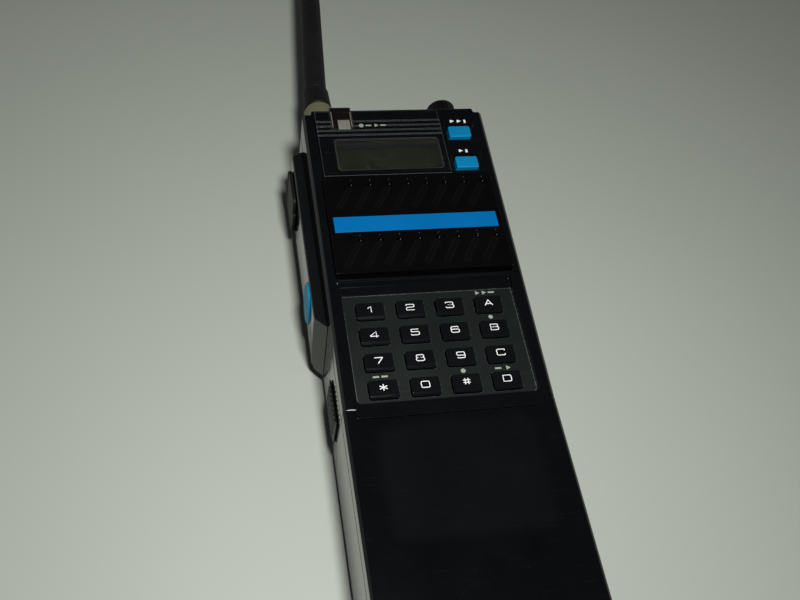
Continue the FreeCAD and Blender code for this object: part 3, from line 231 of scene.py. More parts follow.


# Finishes

# colours as in a picture (0-255); grain in waves per metre; depth and the width of worn edges and painted edge
# highlights in millimetres
finishes = {
    "shell_black": {"colour": (7, 8, 10), "tint": (10, 11, 13), "worn": (74, 78, 80), "roughness": 0.09,
                    "glossChange": 0.02, "grain": 2600.0, "depth": 0.001, "wear": 0.5, "wearAndGlintWidth": 0.22,
                    "dust": 0.008, "scratches": 0.03},
    "grille_black": {"colour": (5, 5, 6), "tint": (8, 8, 9), "worn": (70, 73, 74), "roughness": 0.10,
                     "glossChange": 0.02, "grain": 3000.0, "depth": 0.001, "wear": 0.2, "wearAndGlintWidth": 0.12,
                     "dust": 0.008, "scratches": 0.02, "specular": 0.25},
    "battery_face": {"colour": (6, 7, 9), "tint": (9, 10, 12), "worn": (74, 78, 80), "roughness": 0.09,
                     "glossChange": 0.02, "grain": 2600.0, "depth": 0.001, "wear": 0.5, "wearAndGlintWidth": 0.22,
                     "dust": 0.008, "scratches": 0.03, "specular": 0.3},
    "grip_black": {"colour": (14, 15, 16), "tint": (17, 18, 19), "worn": (74, 78, 80), "roughness": 0.09,
                   "glossChange": 0.02, "grain": 2600.0, "depth": 0.001, "wear": 0.5, "wearAndGlintWidth": 0.22,
                   "dust": 0.008, "scratches": 0.03, "specular": 0.72},
    # bezel: its pale edge tone is a painted highlight, the glints along its edges, rib crests and window edge
    "bezel_black": {"colour": (7, 8, 10), "tint": (10, 11, 13), "worn": (132, 135, 134), "roughness": 0.10,
                    "glossChange": 0.02, "grain": 2600.0, "depth": 0.001, "wear": 0.9, "wearAndGlintWidth": 0.22,
                    "even": 0.75, "dust": 0.008, "scratches": 0.03},
    # painted highlight: the grey of the glint dots at the heads of the grille's slots
    "painted_glint_grey": {"colour": (92, 96, 98), "tint": (74, 78, 80), "roughness": 0.3, "glossChange": 0.03,
                 "grain": 2600.0, "depth": 0.001},
    # painted highlight: the tone of the streaks along the lamp's clear block
    "painted_streak_pink": {"colour": (126, 112, 106), "tint": (96, 88, 84), "roughness": 0.3, "glossChange": 0.03,
                    "grain": 2600.0, "depth": 0.001, "blotch": 600.0},
    "knob_black": {"colour": (5, 5, 6), "tint": (8, 8, 9), "worn": (44, 44, 44), "roughness": 0.40,
                   "glossChange": 0.08, "grain": 3200.0, "depth": 0.006, "wear": 0.25, "wearAndGlintWidth": 0.25,
                   "dust": 0.02, "specular": 0.25},
    "key_black": {"colour": (10, 12, 14), "tint": (13, 15, 17), "worn": (42, 44, 46), "roughness": 0.12,
                  "glossChange": 0.04, "grain": 3500.0, "depth": 0.001, "wear": 0.4, "wearAndGlintWidth": 0.16,
                  "dust": 0.01, "specular": 0.2},
    "plate_green": {"colour": (18, 24, 23), "tint": (21, 27, 25), "worn": (128, 135, 126), "roughness": 0.36,
                    "glossChange": 0.06, "grain": 3800.0, "depth": 0.003, "wear": 0.75, "wearAndGlintWidth": 0.25,
                    "dust": 0.02, "scratches": 0.04, "specular": 0.25},
    "plate_rim": {"colour": (26, 32, 31), "tint": (34, 40, 38), "worn": (168, 174, 162), "roughness": 0.5,
                  "glossChange": 0.05, "grain": 3000.0, "depth": 0.003, "wear": 1.0, "wearAndGlintWidth": 0.5,
                  "breakup": 1500.0},
    "button_blue": {"colour": (0, 113, 160), "tint": (2, 120, 167), "worn": (44, 158, 204), "roughness": 0.42,
                    "glossChange": 0.06, "grain": 3000.0, "depth": 0.004, "wear": 0.6, "wearAndGlintWidth": 0.3,
                    "dust": 0.02, "specular": 0.25},
    "stripe_blue": {"colour": (0, 95, 155), "tint": (0, 100, 161), "worn": (50, 148, 198), "roughness": 0.30,
                    "glossChange": 0.06, "grain": 2500.0, "depth": 0.003, "wear": 0.3, "wearAndGlintWidth": 0.2,
                    "dust": 0.02, "scratches": 0.06, "specular": 0.25},
    "talk_blue": {"colour": (0, 134, 174), "tint": (0, 142, 182), "worn": (40, 164, 204), "roughness": 0.42,
                  "glossChange": 0.08, "grain": 2200.0, "depth": 0.01, "wear": 0.4, "wearAndGlintWidth": 0.4,
                  "dust": 0.02, "specular": 0.1},
    "seal_rubber": {"colour": (10, 10, 11), "tint": (16, 16, 17), "roughness": 0.75, "glossChange": 0.05,
                    "grain": 1800.0, "depth": 0.01},
    "soft_rubber": {"colour": (10, 12, 10), "tint": (14, 16, 14), "worn": (44, 45, 44), "roughness": 0.55,
                    "glossChange": 0.08, "grain": 1500.0, "depth": 0.012, "wear": 0.3, "wearAndGlintWidth": 0.4,
                    "dust": 0.03, "specular": 0.2},
    "lamp_white": {"colour": (132, 132, 122), "tint": (114, 114, 104), "roughness": 0.5, "glossChange": 0.05,
                   "grain": 1500.0, "depth": 0.004},
    "collar_cream": {"colour": (104, 105, 80), "tint": (90, 89, 67), "worn": (160, 158, 134),
                     "roughness": 0.45, "glossChange": 0.08, "grain": 1600.0, "depth": 0.006, "wear": 0.3,
                     "wearAndGlintWidth": 0.4, "dust": 0.05, "scratches": 0.1},
    "brass": {"colour": (196, 164, 104), "tint": (168, 136, 82), "worn": (220, 196, 140), "roughness": 0.30,
              "glossChange": 0.12, "grain": 1400.0, "depth": 0.004, "metallic": 1.0, "wear": 0.4,
              "wearAndGlintWidth": 0.3, "scratches": 0.3},
    "steel": {"colour": (168, 170, 172), "tint": (140, 142, 145), "worn": (205, 206, 208), "roughness": 0.32,
              "glossChange": 0.14, "grain": 1400.0, "depth": 0.004, "metallic": 1.0, "wear": 0.3,
              "wearAndGlintWidth": 0.3, "scratches": 0.4},
    "chassis_metal": {"colour": (150, 152, 150), "tint": (128, 130, 129), "worn": (190, 191, 190),
                      "roughness": 0.45, "glossChange": 0.1, "grain": 900.0, "depth": 0.008, "metallic": 1.0,
                      "scratches": 0.3},
    "cell_can": {"colour": (150, 40, 34), "tint": (136, 34, 30), "worn": (170, 90, 80), "roughness": 0.38,
                 "glossChange": 0.06, "grain": 800.0, "depth": 0.003, "scratches": 0.1},
    "board_green": {"colour": (22, 72, 44), "tint": (30, 92, 54), "worn": (120, 140, 90), "roughness": 0.45,
                    "glossChange": 0.1, "grain": 700.0, "depth": 0.006, "wear": 0.3, "wearAndGlintWidth": 0.3},
    "part_dark": {"colour": (24, 24, 25), "tint": (34, 34, 35), "worn": (70, 70, 70), "roughness": 0.5,
                  "glossChange": 0.08, "grain": 1800.0, "depth": 0.006, "wear": 0.3, "wearAndGlintWidth": 0.25},
    "cone_paper": {"colour": (30, 29, 27), "tint": (44, 42, 38), "roughness": 0.85, "glossChange": 0.05,
                   "grain": 1300.0, "depth": 0.03, "dust": 0.1},
    "lcd_grey": {"colour": (51, 53, 45), "tint": (52, 54, 46), "roughness": 0.28, "glossChange": 0.04,
                 "grain": 500.0, "depth": 0.001},
    # painted light under the lens: a paler strip for the window edge's highlight and a bluish strip for the
    # bezel's shadow
    "painted_highlight_band": {"colour": (66, 63, 57), "tint": (62, 59, 54), "roughness": 0.4, "glossChange": 0.02,
                  "grain": 2000.0, "depth": 0.001},
    "painted_shadow_band": {"colour": (34, 40, 48), "tint": (31, 37, 45), "roughness": 0.4, "glossChange": 0.02,
                  "grain": 2000.0, "depth": 0.001},
    # painted reflection: the grey of the ring inside the display window's edge
    "window_sheen_grey": {"colour": (30, 32, 29), "tint": (26, 28, 25), "roughness": 0.5, "glossChange": 0.05,
                  "grain": 2000.0, "depth": 0.004},
    "legend_white": {"colour": (236, 238, 234), "tint": (222, 224, 220), "roughness": 0.55, "glossChange": 0.05,
                     "grain": 3000.0, "depth": 0.003},
    "legend_cream": {"colour": (150, 156, 140), "tint": (136, 142, 128), "roughness": 0.55, "glossChange": 0.05,
                     "grain": 3000.0, "depth": 0.003},
    "speaker_cloth": {"colour": (3, 3, 4), "tint": (5, 5, 6), "roughness": 0.9, "glossChange": 0.02,
                      "grain": 1500.0, "depth": 0.05, "specular": 0.1},
}

# how far each effect changes a finish, and the values of finishes that name none of their own
effectLook = {"scratchRough": 0.3, "rubbedAndGlintSmooth": 0.08, "dustRough": 0.5, "dustColour": (150, 150, 140),
              "blotch": 60.0, "breakup": 1100.0}

clearPlastic = {"colour": (238, 240, 236), "fade": 0.98, "roughness": 0.03, "glossChange": 0.01, "ior": 1.49,
                "grain": 500.0, "depth": 0.0002, "passes": 1.0}
smokyPlastic = {"colour": (46, 43, 40), "fade": 0.98, "roughness": 0.08, "glossChange": 0.01, "ior": 1.49,
                "grain": 500.0, "depth": 0.0002, "passes": 0.80}
matPatch = {"centre": (0.0, -39.6, 36.0), "half": (23.3, 17.3, 30.0), "corner": 4.0, "softness": 1.8,
            "roughness": 0.02, "tone": (20, 21, 23), "share": 0.25}
whipRibs = {"pitch": 1.5, "depth": 0.06, "lean": 4.2}


def makeFinish(name, look):
    material = bpy.data.materials.new(name)
    material.use_nodes = True
    tree = material.node_tree
    shader = tree.nodes["Principled BSDF"]
    grain = addEffect(tree, "grain", **{"Scale": look["grain"],
                                        "Blotch Scale": look.get("blotch", effectLook["blotch"])})
    colour = mixColour(tree, grain["Blotch"], linear(look["colour"]), linear(look["tint"]))
    change = calc(tree, "MULTIPLY", calc(tree, "SUBTRACT", grain["Blotch"], 0.5), look["glossChange"])
    rough = calc(tree, "ADD", change, look["roughness"])
    if "scratches" in look:
        lines = addEffect(tree, "scratches", Amount=look["scratches"])["Mask"]
        colour = mixColour(tree, lines, colour, linear(look["worn"]))
        rough = calc(tree, "ADD", rough, calc(tree, "MULTIPLY", lines, effectLook["scratchRough"]))
    # worn edges; on the bezel this same mask paints highlights along the edges
    if "wear" in look:
        rubbedAndGlint = addEffect(tree, "wear", Width=look["wearAndGlintWidth"] * mm, Amount=look["wear"],
                           Breakup=look.get("breakup", effectLook["breakup"]), Even=look.get("even", 0.0))["Mask"]
        colour = mixColour(tree, rubbedAndGlint, colour, linear(look["worn"]))
        rough = calc(tree, "SUBTRACT", rough, calc(tree, "MULTIPLY", rubbedAndGlint, effectLook["rubbedAndGlintSmooth"]))
    if "dust" in look:
        dust = addEffect(tree, "dust", Amount=look["dust"])["Mask"]
        colour = mixColour(tree, dust, colour, linear(effectLook["dustColour"]))
        rough = calc(tree, "ADD", rough, calc(tree, "MULTIPLY", dust, effectLook["dustRough"]), clamp=True)
    bump = addNode(tree, "ShaderNodeBump", {"Height": grain["Height"], "Distance": look["depth"] * mm})
    tree.links.new(colour, shader.inputs["Base Color"])
    tree.links.new(rough, shader.inputs["Roughness"])
    tree.links.new(bump.outputs[0], shader.inputs["Normal"])
    shader.inputs["Metallic"].default_value = look.get("metallic", 0.0)
    shader.inputs["Specular IOR Level"].default_value = look.get("specular", 0.5)
    return material


def makeClear(name, look):
    material = bpy.data.materials.new(name)
    material.use_nodes = True
    tree = material.node_tree
    shader = tree.nodes["Principled BSDF"]
    grain = addEffect(tree, "grain", **{"Scale": look["grain"]})
    rough = calc(tree, "ADD", calc(tree, "MULTIPLY", grain["Height"], look["glossChange"]), look["roughness"])
    bump = addNode(tree, "ShaderNodeBump", {"Height": grain["Height"], "Distance": look["depth"] * mm})
    faded = linear([c * look["fade"] for c in look["colour"]])
    colour = mixColour(tree, grain["Height"], linear(look["colour"]), faded)
    tree.links.new(colour, shader.inputs["Base Color"])
    tree.links.new(rough, shader.inputs["Roughness"])
    tree.links.new(bump.outputs[0], shader.inputs["Normal"])
    shader.inputs["Transmission Weight"].default_value = look["passes"]
    shader.inputs["IOR"].default_value = look["ior"]
    return material


def addPatch(material, patch):
    # the battery's face has a duller field, where something was stuck on
    tree = material.node_tree
    shader = tree.nodes["Principled BSDF"]
    field = addEffect(tree, "field", **{"Centre": Vector(patch["centre"]) * mm,
                                        "Half Size": Vector(patch["half"]) * mm,
                                        "Corner": patch["corner"] * mm, "Softness": patch["softness"] * mm})
    rough = shader.inputs["Roughness"].links[0].from_socket
    colour = shader.inputs["Base Color"].links[0].from_socket
    duller = calc(tree, "ADD", rough, calc(tree, "MULTIPLY", field["Mask"], patch["roughness"]))
    tree.links.new(duller, shader.inputs["Roughness"])
    share = calc(tree, "MULTIPLY", field["Mask"], patch["share"])
    tree.links.new(mixColour(tree, share, colour, linear(patch["tone"])), shader.inputs["Base Color"])


def addRibs(material, ribs):
    # the moulded winding that shows through the aerial's sheath
    tree = material.node_tree
    bump = next(node for node in tree.nodes if node.type == "BUMP")
    place = addNode(tree, "ShaderNodeTexCoord").outputs["Object"]
    turned = addNode(tree, "ShaderNodeMapping", {"Vector": place,
                                                 "Rotation": (0.0, 0.0, math.radians(ribs["lean"]))}).outputs[0]
    along = addNode(tree, "ShaderNodeSeparateXYZ", {0: turned}).outputs["Y"]
    wave = calc(tree, "SINE", calc(tree, "MULTIPLY", along, 2 * math.pi / (ribs["pitch"] * mm)))
    rib = addNode(tree, "ShaderNodeBump", {"Height": wave, "Distance": ribs["depth"] * mm,
                                           "Normal": bump.outputs[0]})
    tree.links.new(rib.outputs[0], tree.nodes["Principled BSDF"].inputs["Normal"])


materials = {name: makeFinish(name, look) for name, look in finishes.items()}
materials["clear"] = makeClear("clear", clearPlastic)
materials["clear_smoky"] = makeClear("clear_smoky", smokyPlastic)
addPatch(materials["battery_face"], matPatch)
materials["whip_rubber"] = makeFinish("whip_rubber", finishes["soft_rubber"])
addRibs(materials["whip_rubber"], whipRibs)

for node, piece in nodes.items():
    piece.data.materials.clear()
    piece.data.materials.append(materials[slotOf[node]])
print("finishes made:", len(materials))


# From a mesh to a riding piece

# weld, sliver and broad in millimetres; the two angles at which faces count as one flat in degrees
meshLook = {"weld": 0.002, "sliver": 0.001, "broad": 1.2, "flatBefore": 0.5, "flatAfter": 0.2}


def keepFlats(bm):
    # two broad faces that meet keep their own shading, however shallow the angle
    least = meshLook["broad"] * mm
    broad = {face for face in bm.faces if 2 * face.calc_area() > least * face.calc_perimeter()}
    for edge in bm.edges:
        if len(edge.link_faces) == 2 and all(face in broad for face in edge.link_faces):
            edge.smooth = False


def finishPiece(bm, name, finish, body, stands=(), flat=False):
    keepFlats(bm)
    mesh = bpy.data.meshes.new(name)
    bm.to_mesh(mesh)
    bm.free()
    mesh.polygons.foreach_set("use_smooth", [not flat] * len(mesh.polygons))
    mesh.materials.append(materials[finish])
    piece = bpy.data.objects.new(name, mesh)
    bpy.context.scene.collection.objects.link(piece)
    if not flat:
        even = piece.modifiers.new("evenNormals", "WEIGHTED_NORMAL")
        even.keep_sharp = True
    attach(piece, body)
    if stands:
        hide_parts(*stands)


def sharpEdges(bm, least):
    limit = math.radians(least)
    return [edge for edge in bm.edges if len(edge.link_faces) == 2 and edge.calc_face_angle(0.0) > limit]


def weldedCopy(node):
    bm = bmesh.new()
    bm.from_mesh(nodes[node].data)
    bmesh.ops.remove_doubles(bm, verts=bm.verts, dist=meshLook["weld"] * mm)
    bmesh.ops.dissolve_limit(bm, angle_limit=math.radians(meshLook["flatBefore"]), verts=bm.verts, edges=bm.edges)
    return bm


def softenEdges(bm, width, segments=2, least=28.0):
    bmesh.ops.bevel(bm, geom=sharpEdges(bm, least), offset=width * mm, offset_type="OFFSET", segments=segments,
                    profile=0.5, affect="EDGES", clamp_overlap=False, material=-1, loop_slide=False)
    bmesh.ops.dissolve_degenerate(bm, dist=meshLook["sliver"] * mm, edges=bm.edges)
    bmesh.ops.dissolve_limit(bm, angle_limit=math.radians(meshLook["flatAfter"]), verts=bm.verts, edges=bm.edges)


def makeSoftPiece(node, name, width, finish=None, segments=2):
    # a soft-edged copy stands in for the CAD piece, in its place
    bm = weldedCopy(node)
    softenEdges(bm, width, segments=segments)
    finishPiece(bm, name, finish or slotOf[node], bodyOf[node], [node])


# millimetres of soft edge on each moulded piece
softEdges = {
    "rear_shell": 0.22, "front_shell": 0.20, "side_grip": 0.30, "battery_front": 0.22, "battery_rear": 0.25,
    "display_bezel": 0.045, "speaker_grille": 0.06, "keypad_plate": 0.10, "stripe_plate": 0.08,
    "latch_slider": 0.06, "light_pipe": 0.18, "lamp_block": 0.15, "jack_cover": 0.22,
}

# moulded pieces whose finish differs from their slot's
ownFinish = {"battery_front": "battery_face", "light_pipe": "clear_smoky", "display_bezel": "bezel_black",
             "side_grip": "grip_black"}


def makeMouldedPieces():
    for node, width in softEdges.items():
        name = "soft" + "".join(part.capitalize() for part in node.split("_"))
        makeSoftPiece(node, name, width, ownFinish.get(node))


makeMouldedPieces()
print("moulded pieces made:", len(softEdges))


# Keys and their legends

keyLook = {"edge": 0.12}
legendLook = {"width": 2.5, "height": 2.05, "stroke": 0.28, "corner": 0.55, "cornerSteps": 4, "least": 0.01,
              "depth": 0.03, "along": 0.42}

# each sign is a few strokes in a square of side 1, closed where it ends at its start;
# a third number makes that corner sharper or rounder
legendStrokes = {
    "1": [[(0.20, 0.72), (0.62, 1.0, 0.0), (0.62, 0.0)]],
    "2": [[(0.0, 0.78), (0.0, 1.0), (1.0, 1.0), (1.0, 0.52), (0.0, 0.47), (0.0, 0.0, 0.0), (1.0, 0.0)]],
    "3": [[(0.0, 0.80), (0.0, 1.0), (0.95, 1.0), (0.95, 0.54), (0.35, 0.54)],
          [(0.30, 0.54), (1.0, 0.54), (1.0, 0.0), (0.0, 0.0), (0.0, 0.20)]],
    "4": [[(0.74, 0.0), (0.74, 1.0, 0.0), (0.0, 0.32, 0.3), (0.0, 0.22, 0.3), (1.0, 0.22)]],
    "5": [[(0.95, 1.0), (0.04, 1.0, 0.0), (0.04, 0.57, 0.3), (1.0, 0.57), (1.0, 0.0), (0.0, 0.0), (0.0, 0.18)]],
    "6": [[(0.92, 0.82), (0.92, 1.0), (0.0, 1.0), (0.0, 0.0), (1.0, 0.0), (1.0, 0.55), (0.0, 0.55, 0.2)]],
    "7": [[(0.0, 1.0), (1.0, 1.0, 0.2), (0.36, 0.0)]],
    "8": [[(0.5, 0.54), (0.05, 0.54), (0.05, 1.0), (0.95, 1.0), (0.95, 0.54), (0.5, 0.54)],
          [(0.55, 0.54), (0.0, 0.54), (0.0, 0.0), (1.0, 0.0), (1.0, 0.54), (0.55, 0.54)]],
    "9": [[(0.08, 0.18), (0.08, 0.0), (1.0, 0.0), (1.0, 1.0), (0.0, 1.0), (0.0, 0.45), (1.0, 0.45, 0.2)]],
    "0": [[(0.5, 0.0), (0.0, 0.0), (0.0, 1.0), (1.0, 1.0), (1.0, 0.0), (0.5, 0.0)]],
    "*": [[(0.5, -0.02), (0.5, 1.02)], [(0.04, 0.24), (0.96, 0.76)], [(0.04, 0.76), (0.96, 0.24)]],
    "#": [[(0.30, 0.0), (0.30, 1.0)], [(0.70, 0.0), (0.70, 1.0)], [(0.06, 0.70), (0.94, 0.70)],
          [(0.06, 0.30), (0.94, 0.30)]],
    "A": [[(0.0, 0.0), (0.5, 1.0, 0.2), (1.0, 0.0)], [(0.19, 0.30), (0.81, 0.30)]],
    "B": [[(0.0, 0.54), (0.0, 1.0, 0.0), (0.94, 1.0), (0.94, 0.54), (0.0, 0.54)],
          [(0.0, 0.53), (1.0, 0.53), (1.0, 0.0), (0.0, 0.0, 0.0), (0.0, 0.53)]],
    "C": [[(1.0, 0.76), (1.0, 1.0), (0.0, 1.0), (0.0, 0.0), (1.0, 0.0), (1.0, 0.24)]],
    "D": [[(0.0, 0.5), (0.0, 1.0, 0.0), (1.0, 1.0), (1.0, 0.0), (0.0, 0.0, 0.0), (0.0, 0.5)]],
}
keyLegends = {"key_1": "1", "key_2": "2", "key_3": "3", "key_a": "A", "key_4": "4", "key_5": "5", "key_6": "6",
              "key_b": "B", "key_7": "7", "key_8": "8", "key_9": "9", "key_c": "C", "key_star": "*",
              "key_0": "0", "key_hash": "#", "key_d": "D"}


def easedStroke(corners):
    # the stroke's places in millimetres, with its corners eased
    width, height, steps = legendLook["width"], legendLook["height"], legendLook["cornerSteps"]
    spots = [Vector(((c[0] - 0.5) * width, (c[1] - 0.5) * height, 0.0)) for c in corners]
    eased = [spots[0]]
    for before, here, after, corner in zip(spots, spots[1:], spots[2:], corners[1:]):
        reach = legendLook["corner"] * (corner[2] if len(corner) > 2 else 1.0)
        reach = min(reach, (before - here).length * 0.5, (after - here).length * 0.5)
        start = here + (before - here).normalized() * reach
        end = here + (after - here).normalized() * reach
        for step in range(steps + 1 if reach > legendLook["least"] else 1):
            t = step / steps
            eased.append(start * (1 - t) ** 2 + here * 2 * t * (1 - t) + end * t ** 2)
    return eased + [spots[-1]]


def strokeMesh(word):
    curve = bpy.data.curves.new("strokes", "CURVE")
    curve.dimensions = "3D"
    curve.bevel_depth = legendLook["stroke"] / 2 * mm
    curve.bevel_resolution = 1
    curve.use_fill_caps = True
    for corners in legendStrokes[word]:
        line = curve.splines.new("POLY")
        spots = easedStroke(corners)
        if corners[0] == corners[-1]:
            line.use_cyclic_u = True
            spots.pop()
        line.points.add(len(spots) - 1)
        for point, spot in zip(line.points, spots):
            point.co = (spot.x * mm, spot.y * mm, 0.0, 1.0)
    holder = bpy.data.objects.new("strokes", curve)
    bpy.context.scene.collection.objects.link(holder)
    mesh = bpy.data.meshes.new_from_object(holder.evaluated_get(bpy.context.evaluated_depsgraph_get()))
    bpy.data.objects.remove(holder)
    bpy.data.curves.remove(curve)
    return mesh


def makeLegend(node, word):
    mesh = strokeMesh(word)
    bm = bmesh.new()
    bm.from_mesh(mesh)
    bpy.data.meshes.remove(mesh)
    bmesh.ops.scale(bm, verts=bm.verts, vec=(1.0, 1.0, legendLook["depth"] / legendLook["stroke"]))
    low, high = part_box(node)
    spot = (low + high) / 2 + Vector((0.0, legendLook["along"] * mm, 0.0))
    spot.z = high.z
    bmesh.ops.translate(bm, verts=bm.verts, vec=spot)
    bmesh.ops.remove_doubles(bm, verts=bm.verts, dist=meshLook["sliver"] * mm)
    bmesh.ops.recalc_face_normals(bm, faces=bm.faces)
    finishPiece(bm, "legend_" + node, "legend_white", bodyOf[node], flat=True)


for node, word in keyLegends.items():
    makeSoftPiece(node, "cap_" + node, keyLook["edge"])
    makeLegend(node, word)
print("keys made:", len(keyLegends))


# Small printed marks

# bars, dots and arrows (kind, x, y, width, height) in millimetres
markLook = {"depth": 0.02, "plate": 34.3, "bezel": 40.2, "dotCorners": 24}
shellSlope = {"low": 35.2, "rise": 4.4, "start": -16.55, "length": 114.3}
plateMarks = [("arrow", 15.9, 22.0, 1.8, 1.7), ("arrow", 18.1, 22.0, 1.8, 1.7), ("bar", 20.6, 22.0, 2.0, 0.6),
              ("dot", 18.55, 12.75, 1.4, 1.4),
              ("bar", -20.7, -5.75, 1.9, 0.6), ("bar", -18.1, -5.75, 1.9, 0.6), ("dot", 5.95, -5.75, 1.5, 1.5),
              ("bar", 16.9, -5.75, 2.0, 0.6), ("arrow", 19.9, -5.75, 1.8, 1.7)]
bezelMarks = [("dot", -12.3, 89.9, 1.7, 1.7), ("bar", -9.8, 89.9, 2.0, 0.6), ("arrow", -7.2, 89.9, 1.8, 1.8),
              ("bar", -4.7, 89.9, 2.0, 0.6)]
shellMarks = [("arrow", 20.2, 91.9, 2.0, 1.9), ("arrow", 22.7, 91.9, 2.0, 1.9), ("bar", 25.0, 91.9, 0.7, 1.9),
              ("arrow", 20.9, 78.4, 2.0, 1.8), ("bar", 23.1, 78.4, 0.7, 1.8)]


def makeMarks(name, marks, finish, heightAt):
    bm = bmesh.new()
    for kind, x, y, width, height in marks:
        if kind == "bar":
            made = bmesh.ops.create_grid(bm, x_segments=1, y_segments=1, size=0.5)["verts"]
        else:
            corners = 3 if kind == "arrow" else markLook["dotCorners"]
            made = bmesh.ops.create_circle(bm, cap_ends=True, segments=corners, radius=0.5)["verts"]
            if kind == "arrow":
                bmesh.ops.rotate(bm, verts=made, cent=(0, 0, 0), matrix=Matrix.Rotation(-math.pi / 2, 3, "Z"))
        bmesh.ops.scale(bm, verts=made, vec=(width * mm, height * mm, 1.0))
        bmesh.ops.translate(bm, verts=made, vec=(x * mm, y * mm, heightAt(y) * mm))
    for face in bm.faces:
        if face.normal.z < 0:
            face.normal_flip()
    raised = bmesh.ops.extrude_face_region(bm, geom=bm.faces[:])["geom"]
    bmesh.ops.translate(bm, verts=[v for v in raised if isinstance(v, bmesh.types.BMVert)],
                        vec=(0.0, 0.0, markLook["depth"] * mm))
    bmesh.ops.recalc_face_normals(bm, faces=bm.faces)
    finishPiece(bm, name, finish, "casing", flat=True)


def shellFace(y):
    # the front shell's face rises evenly from the battery to the top
    return shellSlope["low"] + shellSlope["rise"] * (y - shellSlope["start"]) / shellSlope["length"]


makeMarks("plateMarks", plateMarks, "legend_cream", lambda y: markLook["plate"])
makeMarks("bezelMarks", bezelMarks, "legend_cream", lambda y: markLook["bezel"])
makeMarks("shellMarks", shellMarks, "legend_white", shellFace)
print("marks made")


# The keypad plate's rim

rimLook = {"corner": 1.5, "width": 0.3, "rise": 0.02}


def makePlateRim():
    # a pale, broken line along the rim of the keypad's plate
    low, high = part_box("keypad_plate")
    bm = bmesh.new()
    bmesh.ops.create_grid(bm, x_segments=1, y_segments=1, size=0.5)
    bmesh.ops.scale(bm, verts=bm.verts, vec=(high.x - low.x, high.y - low.y, 1.0))
    foot = [v for v in bm.verts if v.co.y < 0]
    bmesh.ops.bevel(bm, geom=foot, offset=rimLook["corner"] * mm, offset_type="OFFSET", segments=6, profile=0.5,
                    affect="VERTICES", clamp_overlap=False, material=-1)
    inner = bm.faces[:]
    bmesh.ops.inset_region(bm, faces=inner, thickness=rimLook["width"] * mm, depth=0.0, use_boundary=True,
                           use_even_offset=True)
    bmesh.ops.delete(bm, geom=inner, context="FACES")
    bmesh.ops.translate(bm, verts=bm.verts, vec=((low.x + high.x) / 2, (low.y + high.y) / 2,
                                                 high.z + rimLook["rise"] * mm))
    bmesh.ops.solidify(bm, geom=bm.faces[:], thickness=rimLook["rise"] * mm)
    bmesh.ops.recalc_face_normals(bm, faces=bm.faces)
    finishPiece(bm, "plateRim", "plate_rim", "casing", flat=True)


makePlateRim()


# Blue front buttons and the talk button

buttonLook = {"edge": 0.14, "segments": 3}
talkLook = {"edge": 0.18}

for node in ("blue_button_upper", "blue_button_lower"):
    makeSoftPiece(node, "cap_" + node, buttonLook["edge"], segments=buttonLook["segments"])
makeSoftPiece("talk_button", "talkCap", talkLook["edge"])
print("buttons made")


# Volume knob

knobLook = {"grooves": 22, "grooveDepth": 0.22, "grooveInset": 0.08, "height": 14.5, "radius": 5.4, "crown": 0.9,
            "skirt": 1.4, "shaft": 2.0}


def spunPiece(profile, centre, steps):
    # profile: (radius, along Y) in millimetres, spun once round the Y axis through the centre
    bm = bmesh.new()
    spots = [bm.verts.new(((centre[0] + r) * mm, y * mm, centre[1] * mm)) for r, y in profile]
    edges = [bm.edges.new(pair) for pair in zip(spots, spots[1:])]
    bmesh.ops.spin(bm, geom=spots + edges, cent=(centre[0] * mm, 0.0, centre[1] * mm), axis=(0, 1, 0),
                   angle=2 * math.pi, steps=steps, use_merge=True)
    bmesh.ops.remove_doubles(bm, verts=bm.verts, dist=meshLook["weld"] * mm)
    bmesh.ops.recalc_face_normals(bm, faces=bm.faces)
    return bm


def makeKnob():
    low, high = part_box("volume_knob")
    centre = ((low.x + high.x) / 2 / mm, (low.z + high.z) / 2 / mm)
    end = high.y / mm
    foot = end - knobLook["height"]
    radius = knobLook["radius"]
    crown = knobLook["crown"]
    skirt = foot + knobLook["skirt"]
    profile = [(0.0, low.y / mm), (knobLook["shaft"], low.y / mm), (knobLook["shaft"], foot), (radius - 0.4, foot),
               (radius, foot + 0.4), (radius, skirt - 0.3), (radius - 0.08, skirt), (radius - 0.08, end - crown),
               (radius - 0.3, end - crown * 0.45), (radius - 0.9, end - 0.08), (radius - 1.5, end), (0.0, end)]
    steps = knobLook["grooves"] * 2
    bm = spunPiece(profile, centre, steps)
    side = []
    for face in bm.faces:
        spot = face.calc_center_median()
        if skirt < spot.y / mm < end - crown and abs(face.normal.y) < 0.2:
            side.append((math.atan2(spot.x / mm - centre[0], spot.z / mm - centre[1]), face))
    side.sort(key=lambda item: item[0])
    grooves = [face for index, (turn, face) in enumerate(side) if index % 2]
    bmesh.ops.inset_individual(bm, faces=grooves, thickness=knobLook["grooveInset"] * mm,
                               depth=-knobLook["grooveDepth"] * mm, use_even_offset=True)
    finishPiece(bm, "ribbedKnob", "knob_black", "volume_knob", ["volume_knob"])


makeKnob()


# Aerial

aerialLook = {"whipLength": 131.0, "whipRadius": 4.1, "tipRadius": 3.2, "lean": 4.2, "gap": 0.1, "steps": 40,
              "boreRadius": 1.6, "boreDepth": 6.0, "collarEdge": 0.12}


